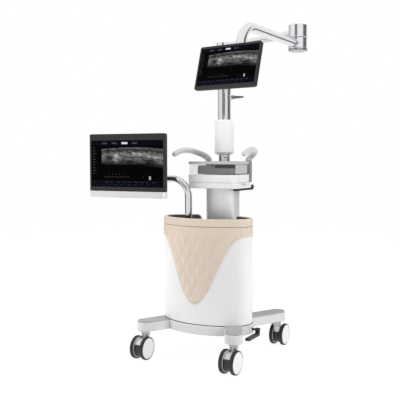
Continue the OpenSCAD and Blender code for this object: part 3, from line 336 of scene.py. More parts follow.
# Grip plastic has a fine eroded grain and a light sheen; the same grey paints the shade inside the
# deck's finger recesses.
grip_grey_and_recess_shade = grained("grey_grip_plastic_and_recess_shade", "#D4D4D4", "#CDCDCD", rough=0.36,
                    grain_mm=5.0, depth_mm=0.02, coat=0.15)
for node, name in (("deck_lower", "deck_slab_low"), ("deck_upper", "deck_slab_high")):
    bm = from_cad(node)
    ease(bm, slab_round, steps=4, only=level_edge)
    low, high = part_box(node)
    deck_mid, deck_half = (low + high) / 2, (high - low) / 2
    # The faces inside the finger recesses take the grey: painted shade in the hollows.
    for f in bm.faces:
        away = f.calc_center_median() - deck_mid
        if (recess_skin < deck_half.x - abs(away.x) < recess_deep
                and abs(away.y) < recess_half and abs(away.z) < deck_half.z - recess_edge):
            f.material_index = 1
    settle(bm, name, "lift", [white_abs, grip_grey_and_recess_shade], [node])


# Tray. Walls of lightly smoked acrylic with polished edges on the deck, under a pale rim; a grey
# insert with a black upper edge and a raised front strip stands inside, and a pale liner covers
# the right wall.
def add_part(bm, part, place):
    """Adds one bmesh to another at a place."""
    bmesh.ops.transform(part, matrix=place, verts=part.verts)
    held = bpy.data.meshes.new("part")
    part.to_mesh(held)
    part.free()
    bm.from_mesh(held)
    bpy.data.meshes.remove(held)


def add_block(bm, size, place, radius, steps=3):
    """Adds a block of this size at a place, its edges rounded."""
    part = bmesh.new()
    bmesh.ops.create_cube(part, size=1, matrix=Matrix.Diagonal((*size, 1)))
    ease(part, radius, steps)
    add_part(bm, part, place)


# Clear sheet with a grey tint: nearly all light passes, and its faces mirror the room a little.
smoked = new_finish("smoked_acrylic", {"Base Color": linear("#66666A"), "Roughness": 0.06,
                                       "Alpha": 0.08, "Coat Weight": 0.5, "IOR": 1.49})[0]
# The three greys are moulded plastics, satin, with a fine grain.
soft_grey = grained("soft_grey_plastic", "#E2E2E1", "#D8D8D7", rough=0.34,
                    grain_mm=5.0, depth_mm=0.05, coat=0.15)
insert_grey = grained("grey_insert_plastic", "#888889", "#7C7C7D", rough=0.45,
                      grain_mm=4.0, depth_mm=0.06)
rim_grey = grained("grey_rim_plastic", "#C8C8C8", "#C0C0C0", rough=0.3,
                   grain_mm=5.0, depth_mm=0.02, coat=0.2)
wall_round, edge_round, insert_round = 0.001, 0.0025, 0.001
bm = from_cad("smoked_tray")
ease(bm, wall_round, steps=2, sharp=60, only=level_edge)
settle(bm, "tray_walls", "lift", [smoked], ["smoked_tray"])
bm = from_cad("tray_rim")
ease(bm, edge_round, steps=3, sharp=60, only=level_edge)
settle(bm, "tray_edge", "lift", [rim_grey], ["tray_rim"])

black_wide, black_high = 0.112, 0.020
strip_size, strip_across, strip_deep, strip_down = (0.088, 0.003, 0.034), 0.053, 0.0022, 0.022
low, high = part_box("tray_insert")
black_edge = high - Vector((black_wide, 0, black_high))
bm = from_cad("tray_insert")
for across in ((0, 0, 1), (1, 0, 0)):
    slice_at(bm, black_edge, across)
for f in bm.faces:
    centre = f.calc_center_median()
    f.material_index = 1 if centre.z > black_edge.z and centre.x > black_edge.x else 0
ease(bm, insert_round, steps=2, sharp=60)
add_block(bm, strip_size, Matrix.Translation((low.x + strip_across, low.y + strip_deep,
                                              high.z - strip_down)), insert_round, steps=2)
settle(bm, "tray_inside", "lift", [insert_grey, black_abs], ["tray_insert"])

side_liner, side_in, side_up, side_round = (0.0022, 0.150, 0.050), 0.0061, 0.030, 0.0006
low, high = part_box("smoked_tray")
bm = bmesh.new()
add_block(bm, side_liner, Matrix.Translation((high.x - side_in, (low.y + high.y) / 2,
                                              low.z + side_up)), side_round, steps=2)
settle(bm, "tray_side_liner", "lift", [soft_grey])

# Rear block. Dark grey plastic beam behind the tray that carries the handles, held from the back
# by four chrome plated screws.
beam_round = 0.003
head_r, head_top_r, head_high, head_proud, head_in = 0.005, 0.0036, 0.003, 0.0004, 0.016
# Beam plastic is matt, with the grain of an eroded mould.
beam_grey = grained("grey_beam_plastic", "#96969A", "#8B8B8F", rough=0.4,
                    grain_mm=4.0, depth_mm=0.1)
bm = from_cad("rear_block")
ease(bm, beam_round, sharp=60)
settle(bm, "rear_beam", "lift", [beam_grey], ["rear_block"])
low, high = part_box("rear_block")
bm = bmesh.new()
for x in (low.x + head_in, high.x - head_in):
    for z in (low.z + head_in, high.z - head_in):
        part = bmesh.new()
        bmesh.ops.create_cone(part, cap_ends=True, segments=32, radius1=head_r,
                              radius2=head_top_r, depth=head_high)
        add_part(bm, part, Matrix.Translation((x, high.y + head_proud, z))
                 @ Matrix.Rotation(math.radians(-90), 4, "X"))
settle(bm, "beam_screws", "lift", [chrome])

# Handles. Grey soft-touch plastic over a steel core, round in section, swept up, out and forward
# from the rear block; one level of subdivision rounds the CAD's facets.
for side in ("left", "right"):
    bm = from_cad("handle_" + side)
    piece = settle(bm, "grab_handle_" + side, "lift", [grip_grey_and_recess_shade],
                   ["handle_" + side], smooth=60, even=False)
    rounding = piece.modifiers.new("rounding", "SUBSURF")
    rounding.levels = rounding.render_levels = 1

# Mast. Turned aluminium neck on a flange, a white ABS sleeve with five grey clips at its foot,
# and a chrome plated pole with a clamp collar, whose lever is dark grey plastic.
lever_slim_share = 0.3
# Lever plastic is matt; the neck is turned and polished, with faint rings drawn 2 mm apart.
lever_grey = grained("grey_lever_plastic", "#58585A", "#4E4E50", rough=0.4,
                     grain_mm=3.0, depth_mm=0.05)
polished_aluminium = grained("polished_aluminium", "#D8D9DB", "#CDCED1", rough=0.2, grain_mm=2.0,
                             depth_mm=0.02, metallic=1.0, stretch=(1, 1, 0.05))
for node, name, body, finish, slot, radius in (
        ("mast_neck", "neck_post", "lift", polished_aluminium, "polished_aluminium", 0.0015),
        ("mast_sleeve", "white_sleeve", "lift", white_abs, "white_plastic", 0.002),
        ("mast_pole", "chrome_pole", "lift", chrome, "polished_chrome", 0.0012),
        ("mast_lever", "clamp_handle", "clamp_lever", lever_grey, "dark_plastic", 0.001),
        ("neck_knob", "waisted_knob", "turn_knob", chrome, "polished_chrome", 0.001),
        ("release_lever", "release_bar", "release", black_abs, "dark_plastic", 0.0015),
        ("mast_inner", "inner_mast", "mast_slide", polished_aluminium, "polished_aluminium", 0.0)):
    bm = from_cad(node)
    if radius:
        ease(bm, radius, sharp=50, only=level_edge if node == "mast_pole" else None)
    if node == "mast_lever":
        low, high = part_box(node)
        for v in bm.verts:
            v.co.z += ((low.z + high.z) / 2 - v.co.z) * lever_slim_share
    settle(bm, name, body, [finish], [node])

clip_turns = (-12, 62, 135, 208, 282)
clip_size, clip_out, clip_up, clip_round = (0.011, 0.011, 0.018), 0.049, 0.015, 0.002
low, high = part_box("mast_sleeve")
axis = (low + high) / 2
bm = bmesh.new()
for turn in clip_turns:
    add_block(bm, clip_size, Matrix.Translation((axis.x, axis.y, 0))
              @ Matrix.Rotation(math.radians(turn), 4, "Z")
              @ Matrix.Translation((0, -clip_out, low.z + clip_up)), clip_round)
settle(bm, "sleeve_clips", "lift", [grip_grey_and_recess_shade])


# Overhead arm. Two thick aluminium tubes, polished, welded into turned joints that swing level;
# a grey ring closes the elbow below, and a dark swivel carries the small monitor.
def drum(radius, low, high):
    """The outline of a plain turned drum, from axis to axis."""
    return [(0, low), (radius, low), (radius, high), (0, high)]


def add_turned(bm, profile, place, radius=0.0, steps=64, sharp=30, weld=1e-6):
    """Adds a turned solid: (radius, height) pairs from axis to axis, spun, its rims rounded."""
    part = bmesh.new()
    verts = [part.verts.new((r, 0, h)) for r, h in profile]
    edges = [part.edges.new(pair) for pair in zip(verts, verts[1:])]
    bmesh.ops.spin(part, geom=verts + edges, cent=(0, 0, 0), axis=(0, 0, 1), angle=math.tau,
                   steps=steps, use_merge=True)
    bmesh.ops.remove_doubles(part, verts=part.verts, dist=weld)
    bmesh.ops.recalc_face_normals(part, faces=part.faces)
    if radius:
        ease(part, radius, sharp=sharp)
    add_part(bm, part, place)


def add_pipe(bm, place, runs, bend, radius, ring=48, steps=24):
    """Adds a round pipe that runs along +X, turns down over a bend radius and runs on down."""
    part = bmesh.new()
    bmesh.ops.create_circle(part, cap_ends=True, segments=ring, radius=radius,
                            matrix=Matrix.Rotation(math.radians(90), 4, "Y"))
    moves = [Matrix.Translation((runs[0], 0, 0))]
    if bend:
        centre = Matrix.Translation((runs[0], 0, -bend))
        one_step = Matrix.Rotation(math.radians(90 / steps), 4, "Y")
        moves += [centre @ one_step @ centre.inverted()] * steps
        moves.append(Matrix.Translation((0, 0, -runs[1])))
    end = part.faces[:]
    for move in moves:
        grown = bmesh.ops.extrude_face_region(part, geom=end)["geom"]
        end = [g for g in grown if isinstance(g, bmesh.types.BMFace)]
        bmesh.ops.transform(part, matrix=move,
                            verts=[g for g in grown if isinstance(g, bmesh.types.BMVert)])
    bmesh.ops.recalc_face_normals(part, faces=part.faces)
    add_part(bm, part, place)


# Buffed tube mirrors the room, a little hazier than the chrome does.
bright_aluminium = polished("polished_aluminium_tube", "#E6E7E9", 40, 0.12, 0.22)
# Anodised grey, the ring is duller than the tubes.
ring_metal = grained("anodised_ring", "#A9ABAE", "#9DA0A3", rough=0.2, grain_mm=3.0,
                     depth_mm=0.02, metallic=1.0)
# Joint covers are dark glass-filled plastic, matt.
joint_grey = grained("dark_grey_joint_plastic", "#4C4D50", "#424346", rough=0.42,
                     grain_mm=4.0, depth_mm=0.15)
# The mast stands behind the middle between the castors, and the arm is placed from it.
mast_back = 0.130
base_centre = (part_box("castor_fl_tyres")[0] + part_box("castor_rr_tyres")[1]) / 2
base_centre.z = 0
mast_axis = base_centre + Vector((0, mast_back, 0))
link_one_long, link_one_high, link_one_r = 0.553, 1.716, 0.020
link_two_long, link_two_high, link_two_r = 0.618, 1.660, 0.022
link_one_turn, link_two_turn = math.radians(-21), math.radians(-91.9)
goose_bend, goose_drop = 0.110, 0.042
shoulder_round, elbow_round, foot_round = 0.004, 0.005, 0.002
shoulder_drum = drum(0.046, 1.693, 1.736)
elbow_drum, elbow_foot_drum = drum(0.048, 1.691, 1.756), drum(0.048, 1.636, 1.6892)
elbow = mast_axis + link_one_long * Vector((math.cos(link_one_turn), math.sin(link_one_turn), 0))
goose = elbow + link_two_long * Vector((math.cos(link_two_turn), math.sin(link_two_turn), 0))
bm = bmesh.new()
add_pipe(bm, Matrix.Translation(mast_axis + Vector((0, 0, link_one_high)))
         @ Matrix.Rotation(link_one_turn, 4, "Z"), (link_one_long, 0), 0, link_one_r)
add_turned(bm, shoulder_drum, Matrix.Translation(mast_axis), radius=shoulder_round)
add_turned(bm, elbow_drum, Matrix.Translation(elbow), radius=elbow_round)
settle(bm, "arm_link_one", "arm_inner", [bright_aluminium], ["link_one"])
bm = bmesh.new()
add_pipe(bm, Matrix.Translation(elbow + Vector((0, 0, link_two_high)))
         @ Matrix.Rotation(link_two_turn, 4, "Z"), (link_two_long - goose_bend, goose_drop),
         goose_bend, link_two_r)
add_turned(bm, elbow_foot_drum, Matrix.Translation(elbow), radius=foot_round)
settle(bm, "arm_link_two", "arm_outer", [bright_aluminium], ["link_two"])
ring_round, wrist_round = 0.002, 0.0012
bm = from_cad("elbow_cap")
ease(bm, ring_round, sharp=60)
settle(bm, "elbow_flange", "arm_outer", [ring_metal], ["elbow_cap"])
bm = from_cad("wrist_swivel")
ease(bm, wrist_round, sharp=60, only=level_edge)
settle(bm, "wrist_joint", "wrist", [joint_grey], ["wrist_swivel"])

# Monitor tube and head. Chrome plated steel tube, bent once, rising from its socket in the tub;
# a head under dark plastic covers swivels in the barrel at its end.
head_axis = base_centre + Vector((-0.453, -0.099, 0))
tube_side, tube_back = 0.337, 0.021
tube_bend, tube_high, tube_drop, tube_r = 0.102, 0.972, 0.2075, 0.020
barrel_drum = drum(0.028, 0.946, 0.998)
barrel_round, head_round = 0.002, 0.0015
bm = bmesh.new()
add_pipe(bm, Matrix.Translation(head_axis + Vector((0, 0, tube_high)))
         @ Matrix.Rotation(math.atan2(tube_back, tube_side), 4, "Z"),
         (math.hypot(tube_side, tube_back) - tube_bend, tube_drop), tube_bend, tube_r)
add_turned(bm, barrel_drum, Matrix.Translation(head_axis), radius=barrel_round)
settle(bm, "bent_tube", "monitor_tube", [chrome], ["monitor_arm"])
bm = from_cad("monitor_head")
ease(bm, head_round, sharp=60, only=level_edge)
settle(bm, "swivel_head", "display_head", [joint_grey], ["monitor_head"])

# Monitors. Black textured back shells on dark grey plates, a black glass front, and on the large
# one a silver painted bar under the picture that ends in a black line and a white cap.
# Front glass is near black, smooth and mirrors the room softly; silver paint has a fine fleck.
panel_glass = new_finish("black_panel_glass", {"Base Color": linear("#0B0B0C"),
                                               "Roughness": 0.1, "IOR": 1.5})[0]
silver_paint = grained("silver_painted_abs", "#D9DBDA", "#CFD1D0", rough=0.3,
                       grain_mm=4.0, depth_mm=0.03, coat=0.2)
for node, name, body, finish, slot, radius in (
        ("main_screen_back", "main_back", "main_display", black_abs, "dark_plastic", 0.003),
        ("main_screen_glass", "main_front", "main_display", panel_glass, "screen_glass", 0.0012),
        ("main_screen_plate", "main_plate", "main_display", joint_grey, "dark_grey_plastic", 0.001),
        ("top_screen_back", "top_back", "top_display", black_abs, "dark_plastic", 0.003),
        ("top_screen_glass", "top_front", "top_display", panel_glass, "screen_glass", 0.0009),
        ("top_screen_plate", "top_plate", "top_display", joint_grey, "dark_grey_plastic", 0.001)):
    bm = from_cad(node)
    ease(bm, radius, sharp=60)
    settle(bm, name, body, [finish], [node])


def panel_frame(axis, turn, hinge, lean, glass):
    """A panel's frame: +X to the right of its picture, +Y up, +Z out of the middle of its glass.

    It stands on an upright axis, turned, with its hinge in front of that and leaning back.
    """
    return (Matrix.Translation(axis) @ Matrix.Rotation(math.radians(turn), 4, "Z")
            @ Matrix.Translation(hinge) @ Matrix.Rotation(math.radians(lean), 4, "X")
            @ Matrix.Translation(glass))


top_place = panel_frame(goose, -6.6, (0, -0.054, 1.457), 74.4, (0, 0.003, 0.05215))
main_place = panel_frame(head_axis, 4.8, (0, -0.046, 1.0445), 90, (0, 0.012, 0.06115))
bar_round, line_from, line_to = 0.002, 0.019, 0.0175
bm = from_cad("main_screen_bar")
ease(bm, bar_round, sharp=60)
bar_right = main_place.to_3x3() @ Vector((1, 0, 0))
bar_end = max((v.co - main_place.translation).dot(bar_right) for v in bm.verts)
cuts = [bar_end - line_from, bar_end - line_to]
for cut in cuts:
    slice_at(bm, main_place.translation + cut * bar_right, bar_right)
for f in bm.faces:
    across = (f.calc_center_median() - main_place.translation).dot(bar_right)
    f.material_index = 0 if across < cuts[0] else 1 if across < cuts[1] else 2
settle(bm, "main_bar", "main_display", [silver_paint, black_abs, white_abs],
       ["main_screen_bar"])

# Monitor vents and screws. A field of moulded ribs hides the vents in each back, and four chrome
# plated screws with a dished head hold each plate.
rib_pitch, rib_wide, rib_proud = 0.006, 0.0022, 0.002
rib_down, rib_sunk, rib_round = 0.014, 0.0002, 0.0006
screw_in = 0.012
outer_share, slack = 0.9, 0.0001
screw_profile = [(0, 0.0006), (0.0018, 0.0006), (0.0021, 0.0016), (0.0034, 0.0015),
                 (0.0042, 0.0006), (0.0042, -0.001), (0, -0.001)]


def corners_in(place, node):
    """The corners of a CAD node in a panel's frame."""
    return [place.inverted() @ v.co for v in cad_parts[node].data.vertices]


for screen, place, ribs, rib_high in (("main", main_place, 25, 0.026),
                                      ("top", top_place, 17, 0.018)):
    shell = corners_in(place, screen + "_screen_back")
    side, top = max(c.x for c in shell), max(c.y for c in shell)
    back = min(c.z for c in shell if c.x > outer_share * side)
    bm = bmesh.new()
    for i in range(ribs):
        add_block(bm, (rib_wide, rib_high, rib_proud), place @ Matrix.Translation((
            rib_pitch * (i - (ribs - 1) / 2), top - rib_down - rib_high, back - rib_sunk)),
            rib_round, steps=2)
    settle(bm, screen + "_vent_ribs", screen + "_display", [black_abs])
    plate = corners_in(place, screen + "_screen_plate")
    low = Vector([min(c[k] for c in plate) for k in range(3)])
    high = Vector([max(c[k] for c in plate) for k in range(3)])
    back = min(c.z for c in plate if c.x > high.x - slack)
    bm = bmesh.new()
    for x in (low.x + screw_in, high.x - screw_in):
        for y in (low.y + screw_in, high.y - screw_in):
            add_turned(bm, screw_profile, place @ Matrix.Translation((x, y, back))
                       @ Matrix.Rotation(math.pi, 4, "X"), steps=24)
    settle(bm, screen + "_plate_screws", screen + "_display", [chrome])

# Screen pictures. Each panel shows a dark page with a grey scan, a row of tabs, icons at the left
# and a tool row below, as flat lit shapes a hair in front of the glass; no lettering.
# Lit colours glow flat, with next to no gloss, so that they read as behind the glass.
lit = {}
for name, colour in (("page", "#010102"), ("navy_bar", "#070815"), ("tab", "#0F1020"),
                     ("bright_tab", "#DCDCEA"), ("icon", "#34363C"), ("tick", "#4C423C"),
                     ("mark", "#4A3A30"), ("button", "#B4ACA0"), ("tool", "#34384C"),
                     ("letters", "#70708A")):
    lit[name] = new_finish("screen_" + name, {"Base Color": (0, 0, 0, 1), "Roughness": 0.3,
                                              "Specular IOR Level": 0.02,
                                              "Emission Color": linear(colour),
                                              "Emission Strength": 1.0})[0]
scan, scan_shader = new_finish("screen_scan", {"Base Color": (0, 0, 0, 1), "Roughness": 0.3,
                                               "Specular IOR Level": 0.02,
                                               "Emission Strength": 1.0})
# Echoes lie in level streaks that fade with depth, under a bright skin line, with speckle.
where = add_node(scan, "UVMap").outputs["UV"]
spread = add_node(scan, "Mapping", {"Vector": where, "Scale": (15.0, 8.5, 1.0)})
streak = add_node(scan, "TexNoise", {"Vector": spread.outputs["Vector"], "Scale": 1.0,
                                     "Detail": 4.0, "Roughness": 0.6, "Distortion": 0.9})
speck = add_node(scan, "TexNoise", {"Vector": where, "Scale": 70.0, "Detail": 2.0})
parts = add_node(scan, "SeparateXYZ", {"Vector": where})
depth = add_node(scan, "ValToRGB", {"Fac": parts.outputs["Y"]})
ramp = depth.color_ramp
ramp.elements[0].position, ramp.elements[0].color = 0.0, (0.008, 0.008, 0.008, 1)
ramp.elements[1].position, ramp.elements[1].color = 1.0, (0.07, 0.07, 0.07, 1)
for spot, shade in ((0.12, 0.03), (0.3, 0.1), (0.5, 0.15), (0.68, 0.13), (0.78, 0.05),
                    (0.87, 0.03), (0.94, 0.09)):
    ramp.elements.new(spot).color = (shade, shade, shade, 1)
body_tone = add_node(scan, "MapRange", {"Value": streak.outputs["Fac"], "From Min": 0.35,
                                        "From Max": 0.68, "To Min": 0.25, "To Max": 2.1})
grain = add_node(scan, "MapRange", {"Value": speck.outputs["Fac"], "To Min": 0.5, "To Max": 1.5})
tone = add_node(scan, "Math", {0: body_tone.outputs["Result"], 1: grain.outputs["Result"]},
                operation="MULTIPLY")
# A dark cyst, a bright lump beside it, and shadows and streaks: centre, half axes and gain.
for u, v, half_u, half_v, gain in ((0.12, 0.4, 0.06, 0.2, 0.2), (0.245, 0.34, 0.05, 0.3, 2.3),
                                   (0.58, 0.42, 0.15, 0.06, 0.45), (0.8, 0.2, 0.1, 0.24, 0.3),
                                   (0.62, 0.64, 0.13, 0.14, 1.6), (0.86, 0.5, 0.09, 0.07, 2.0),
                                   (0.46, 0.2, 0.12, 0.12, 0.5)):
    offset = add_node(scan, "Mapping", {"Vector": where, "Location": (-u / half_u, -v / half_v, 0),
                                        "Scale": (1 / half_u, 1 / half_v, 1)})
    far = add_node(scan, "VectorMath", {0: offset.outputs["Vector"]}, operation="LENGTH")
    spot = add_node(scan, "MapRange", {"Value": far.outputs["Value"], "From Min": 0.5,
                                       "From Max": 1.3, "To Min": gain, "To Max": 1.0})
    tone = add_node(scan, "Math", {0: tone.outputs[0], 1: spot.outputs["Result"]},
                    operation="MULTIPLY")
shade = add_node(scan, "Mix", {"Factor": 1.0, 6: depth.outputs["Color"], 7: tone.outputs[0]},
                 data_type="RGBA", blend_type="MULTIPLY")
wire(scan, shade.outputs[2], scan_shader.inputs["Emission Color"])
kinds = list(lit)
# Left, top, right and bottom as shares of the page, and what is drawn there.
shapes = [(0, 0, 1, 1, "page"), (0, 0.015, 1, 0.11, "navy_bar"), (0, 0.86, 1, 1, "navy_bar"),
          (0.72, 0.775, 0.735, 0.79, "mark"), (0.81, 0.765, 0.835, 0.84, "button")]
for left, kind in ((0.14, "tab"), (0.28, "tab"), (0.425, "bright_tab"), (0.565, "tab")):
    if kind == "bright_tab":
        shapes.append((left + 0.008, 0.04, left + 0.09, 0.082, kind))
        continue
    shapes.append((left, 0.03, left + 0.105, 0.095, kind))
    shapes += [(left + 0.016 + 0.014 * i, 0.05, left + 0.026 + 0.014 * i, 0.075, "letters")
               for i in range(5)]
shapes += [(0.02, 0.15 + 0.062 * i, 0.05 + 0.012 * (i % 3), 0.168 + 0.062 * i, "icon")
           for i in range(10)]
shapes += [(0.19 + 0.028 * i, 0.775, 0.2 + 0.028 * i, 0.795, "tick") for i in range(13)]
shapes += [(0.25 + 0.05 * i, 0.72, 0.258 + 0.05 * i, 0.735, "tick") for i in range(5)]
shapes += [(0.03 + 0.082 * i, 0.885, 0.07 + 0.082 * i + 0.008 * (i % 3), 0.905, "tool")
           for i in range(11)]
shapes += [(0.05 + 0.09 * i, 0.945, 0.1 + 0.09 * i, 0.955, "tool") for i in range(9)]
# Where the scan lies on the page, how far its two edges arch and how its foot falls at the right.
scan_share = {"left": 0.15, "top": 0.19, "foot": 0.52, "rise": 0.04, "fall": 0.16,
              "fall_from": 0.6}
scan_columns = 24
layer = 0.00004


def picture(name, body, place, wide, high):
    """The lit page of one panel, drawn flat in the panel's own frame and then put in place."""
    bm = bmesh.new()
    uv = bm.loops.layers.uv.new("page")
    for rank, (left, top, right, bottom, kind) in enumerate(shapes):
        # The page lies lowest, the bar under its tabs next, and all else on top.
        corners = [((x - 0.5) * wide, (0.5 - y) * high, min(rank, 2) * layer)
                   for x, y in ((left, bottom), (right, bottom), (right, top), (left, top))]
        face = bm.faces.new([bm.verts.new(c) for c in corners])
        face.material_index = kinds.index(kind)
    rows = []
    for i in range(scan_columns + 1):
        u = i / scan_columns
        arch = scan_share["rise"] * (1 - (2 * u - 1) ** 2)
        drop = scan_share["fall"] * max(0, u - scan_share["fall_from"])
        x = (scan_share["left"] + (1 - scan_share["left"]) * u - 0.5) * wide
        low = bm.verts.new((x, (0.5 - scan_share["foot"] - drop) * high, 3 * layer))
        top = bm.verts.new((x, (0.5 - scan_share["top"] + arch) * high, 3 * layer))
        rows.append((low, top))
    for i in range(scan_columns):
        face = bm.faces.new((rows[i][0], rows[i + 1][0], rows[i + 1][1], rows[i][1]))
        face.material_index = len(kinds)
        for loop, share in zip(face.loops, ((i, 0), (i + 1, 0), (i + 1, 1), (i, 1))):
            loop[uv].uv = (share[0] / scan_columns, share[1])
    bmesh.ops.transform(bm, matrix=place, verts=bm.verts)
    settle(bm, name, body, [lit[k] for k in kinds] + [scan], even=False)


top_wide, top_high, main_wide, main_high = 0.286, 0.166, 0.464, 0.262
picture("top_page", "top_display", top_place, top_wide, top_high)
picture("main_page", "main_display", main_place, main_wide, main_high)

# Castors. Twin white wheels with a big smooth disc and a thin polyurethane tyre, on a steel axle
# in a black housing under a soft grey hood; a zinc plated neck turns in the leg.
stem_side, stem_front, trail = 0.268, 0.282, 0.036
wheel_r, hub_r, inner_x, outer_x = 0.0625, 0.0555, 0.021, 0.043
bore_r, dish_r, dish_x, lip, groove_deep = 0.012, 0.046, 0.026, 0.0005, 0.0006
# Cast polyurethane is near black and satin.
tyre_rubber = grained("tyre_polyurethane", "#262627", "#1C1C1D", rough=0.5,
                      grain_mm=3.0, depth_mm=0.1)
# Outlines of half a wheel pair: radius, and distance from the pair's middle.
disc_profile = [(0, inner_x), (bore_r, inner_x), (bore_r + 0.002, dish_x), (dish_r, dish_x),
                (dish_r + 0.003, inner_x + lip), (hub_r, inner_x + lip),
                (hub_r, outer_x - 0.002), (0.0515, outer_x), (0.024, outer_x),
                (0.0232, outer_x - groove_deep), (0.0218, outer_x - groove_deep),
                (0.021, outer_x), (0, outer_x)]
tread_profile = [(hub_r, inner_x + 0.0004), (0.0588, inner_x), (0.0612, inner_x + 0.0012),
                 (0.0622, inner_x + 0.0045), (wheel_r, 0.030), (wheel_r, 0.034),
                 (0.0622, outer_x - 0.0065), (0.0612, outer_x - 0.0032), (0.0588, outer_x - 0.002),
                 (hub_r, outer_x - 0.002), (hub_r, inner_x + 0.0004)]
disc_round, fork_round = 0.0006, 0.002
hood_low, hood_high = 0.086, 0.1125
for corner, sx, sy in (("fl", -1, -1), ("fr", 1, -1), ("rl", -1, 1), ("rr", 1, 1)):
    axle = base_centre + Vector((sx * stem_side, sy * (stem_front + trail), wheel_r))
    for name, profile, finish, slot, node, radius in (
            ("discs", disc_profile, white_abs, "white_plastic", "hubs", disc_round),
            ("treads", tread_profile, tyre_rubber, "tyre_rubber", "tyres", 0.0)):
        bm = bmesh.new()
        for side in (-90, 90):
            add_turned(bm, profile, Matrix.Translation(axle)
                       @ Matrix.Rotation(math.radians(side), 4, "Y"), radius=radius)
        settle(bm, "castor_%s_%s" % (corner, name), "wheels_" + corner, [finish],
               ["castor_%s_%s" % (corner, node)], smooth=28)
    bm = from_cad("castor_%s_fork" % corner)
    ease(bm, fork_round, sharp=60)
    slice_at(bm, (0, 0, hood_low), (0, 0, 1))
    slice_at(bm, (0, 0, hood_high), (0, 0, 1))
    for f in bm.faces:
        level = f.calc_center_median().z
        f.material_index = 0 if level < hood_low else 1 if level < hood_high else 2
    settle(bm, "castor_%s_housing" % corner, "castor_" + corner,
           [black_abs, soft_grey, sheet_steel], ["castor_%s_fork" % corner])


# Studio. A pale floor that keeps the machine's soft shadow, three large soft lamps, cards that only
# reflections see, a black flag in front, and the camera at the photograph's angle.
def stage_sheet(name, wide, high, place, finish):
    """A flat sheet of the studio at a place; it is no piece of the machine."""
    bm = bmesh.new()
    bmesh.ops.create_grid(bm, x_segments=1, y_segments=1, size=0.5)
    bmesh.ops.transform(bm, verts=bm.verts, matrix=place @ Matrix.Diagonal((wide, high, 1, 1)))
    mesh = bpy.data.meshes.new(name)
    bm.to_mesh(mesh)
    bm.free()
    mesh.materials.append(finish)
    sheet = bpy.data.objects.new(name, mesh)
    scene.collection.objects.link(sheet)
    return sheet


def upright(centre, facing, far, height):
    """The place of an upright sheet that faces a centre from a turn, a distance and a height."""
    return (Matrix.Translation((centre.x + far * math.sin(facing),
                                centre.y - far * math.cos(facing), height))
            @ Matrix.Rotation(facing, 4, "Z") @ Matrix.Rotation(math.radians(90), 4, "X"))


# The floor glows for the camera and for reflections, so that it is white and only shadows tell.
floor_paint, floor_shader = new_finish("pale_studio_floor", {"Base Color": linear("#F6F6F6"),
                                                             "Roughness": 0.9})
glow_strength, glow_share, floor_wide = 1.09, 0.85, 80
path = add_node(floor_paint, "LightPath")
glow = add_node(floor_paint, "Emission", {"Color": (1, 1, 1, 1), "Strength": glow_strength})
near = add_node(floor_paint, "Math", {0: path.outputs["Is Camera Ray"],
                                      1: path.outputs["Is Glossy Ray"]}, operation="MAXIMUM")
share = add_node(floor_paint, "Math", {0: near.outputs[0], 1: glow_share}, operation="MULTIPLY")
both = add_node(floor_paint, "MixShader", {0: share.outputs[0], 1: floor_shader.outputs[0],
                                           2: glow.outputs[0]})
wire(floor_paint, both.outputs[0], floor_paint.node_tree.nodes["Material Output"].inputs[0])
stage_sheet("studio_floor", floor_wide, floor_wide, Matrix(), floor_paint)

# The world is white to look at and weaker as a light.
sky_light = 0.46
world = bpy.data.worlds.new("studio_world")
scene.world = world
world.use_nodes = True
seen = add_node(world, "LightPath")
plain = world.node_tree.nodes["Background"]
plain.inputs["Color"].default_value = (1, 1, 1, 1)
most = add_node(world, "Math", {0: seen.outputs["Is Camera Ray"],
                                1: seen.outputs["Is Glossy Ray"]}, operation="MAXIMUM")
most = add_node(world, "Math", {0: most.outputs[0], 1: seen.outputs["Is Transmission Ray"]},
                operation="MAXIMUM")
level = add_node(world, "MapRange", {"Value": most.outputs[0], "To Min": sky_light,
                                     "To Max": 1.0})
wire(world, level.outputs["Result"], plain.inputs["Strength"])

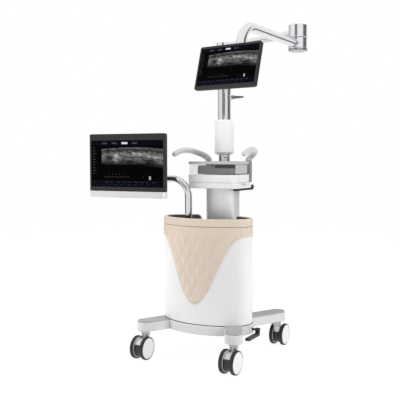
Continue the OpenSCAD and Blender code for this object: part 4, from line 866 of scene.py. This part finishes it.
lamp_aim = Vector((0, 0, 0.8))
for name, place, size, power in (("left_lamp", (-3.12, -2.81, 2.4), 2.0, 104),
                                 ("right_lamp", (4.23, -0.75, 2.2), 2.0, 90),
                                 ("top_lamp", (0.3, -0.6, 4.6), 2.6, 38)):
    lamp = bpy.data.lights.new(name, "AREA")
    lamp.size = size
    lamp.energy = power
    lamp_object = bpy.data.objects.new(name, lamp)
    lamp_object.location = place
    lamp_object.rotation_euler = (lamp_aim - Vector(place)).to_track_quat("-Z", "Y").to_euler()
    lamp_object.visible_glossy = False
    scene.collection.objects.link(lamp_object)

# Cards: the turn from the camera's direction, the width, the foot, the top and the grey.
camera_turn = 29.25
card_far = 5
for name, turn, wide, low, high, colour in (("card_pole", -26, 2.5, 1.5, 4.5, "#6E6E70"),
                                            ("card_right_high", 84, 4.9, 1.4, 4.5, "#727274"),
                                            ("card_right_low", 100, 8.5, -0.4, 1.4, "#7E7E80"),
                                            ("card_left_low", -122, 7.5, -0.4, 1.4, "#7E7E80"),
                                            ("card_left_high", -135, 6.0, 1.4, 4.5, "#D0D0D2")):
    paint = new_finish("studio_" + name, {"Base Color": (0, 0, 0, 1), "Specular IOR Level": 0.0,
                                          "Emission Color": linear(colour),
                                          "Emission Strength": 1.0})[0]
    card = stage_sheet(name, wide, high - low, upright(
        Vector((0, 0, 0)), math.radians(camera_turn + turn), card_far, (low + high) / 2), paint)
    card.visible_camera = card.visible_diffuse = card.visible_shadow = False
    card.visible_transmission = False

# A black flag in front of the cabinet takes light off its middle, as in the photograph.
flag_turn, flag_far, flag_wide, flag_tall, flag_high = 20, 0.72, 0.7, 0.66, 0.48
flag_cloth = new_finish("black_flag_cloth", {"Base Color": linear("#101010"),
                                             "Roughness": 1.0})[0]
flag = stage_sheet("black_flag", flag_wide, flag_tall, upright(
    base_centre, math.radians(flag_turn), flag_far, flag_high), flag_cloth)
flag.visible_camera = flag.visible_glossy = flag.visible_transmission = False

# The camera of the photograph, as solved from its eight castor wheels.
camera = bpy.data.cameras.new("photo_camera")
camera.sensor_width = 36
camera.lens = 60.97
camera.clip_start = 0.1
camera_down = 3.6
camera_object = bpy.data.objects.new("photo_camera", camera)
camera_object.location = (1.79851, -3.09616, 1.09186)
camera_object.rotation_euler = (math.radians(90 - camera_down), 0, math.radians(camera_turn))
scene.collection.objects.link(camera_object)
scene.camera = camera_object
scene.view_settings.view_transform = "Standard"
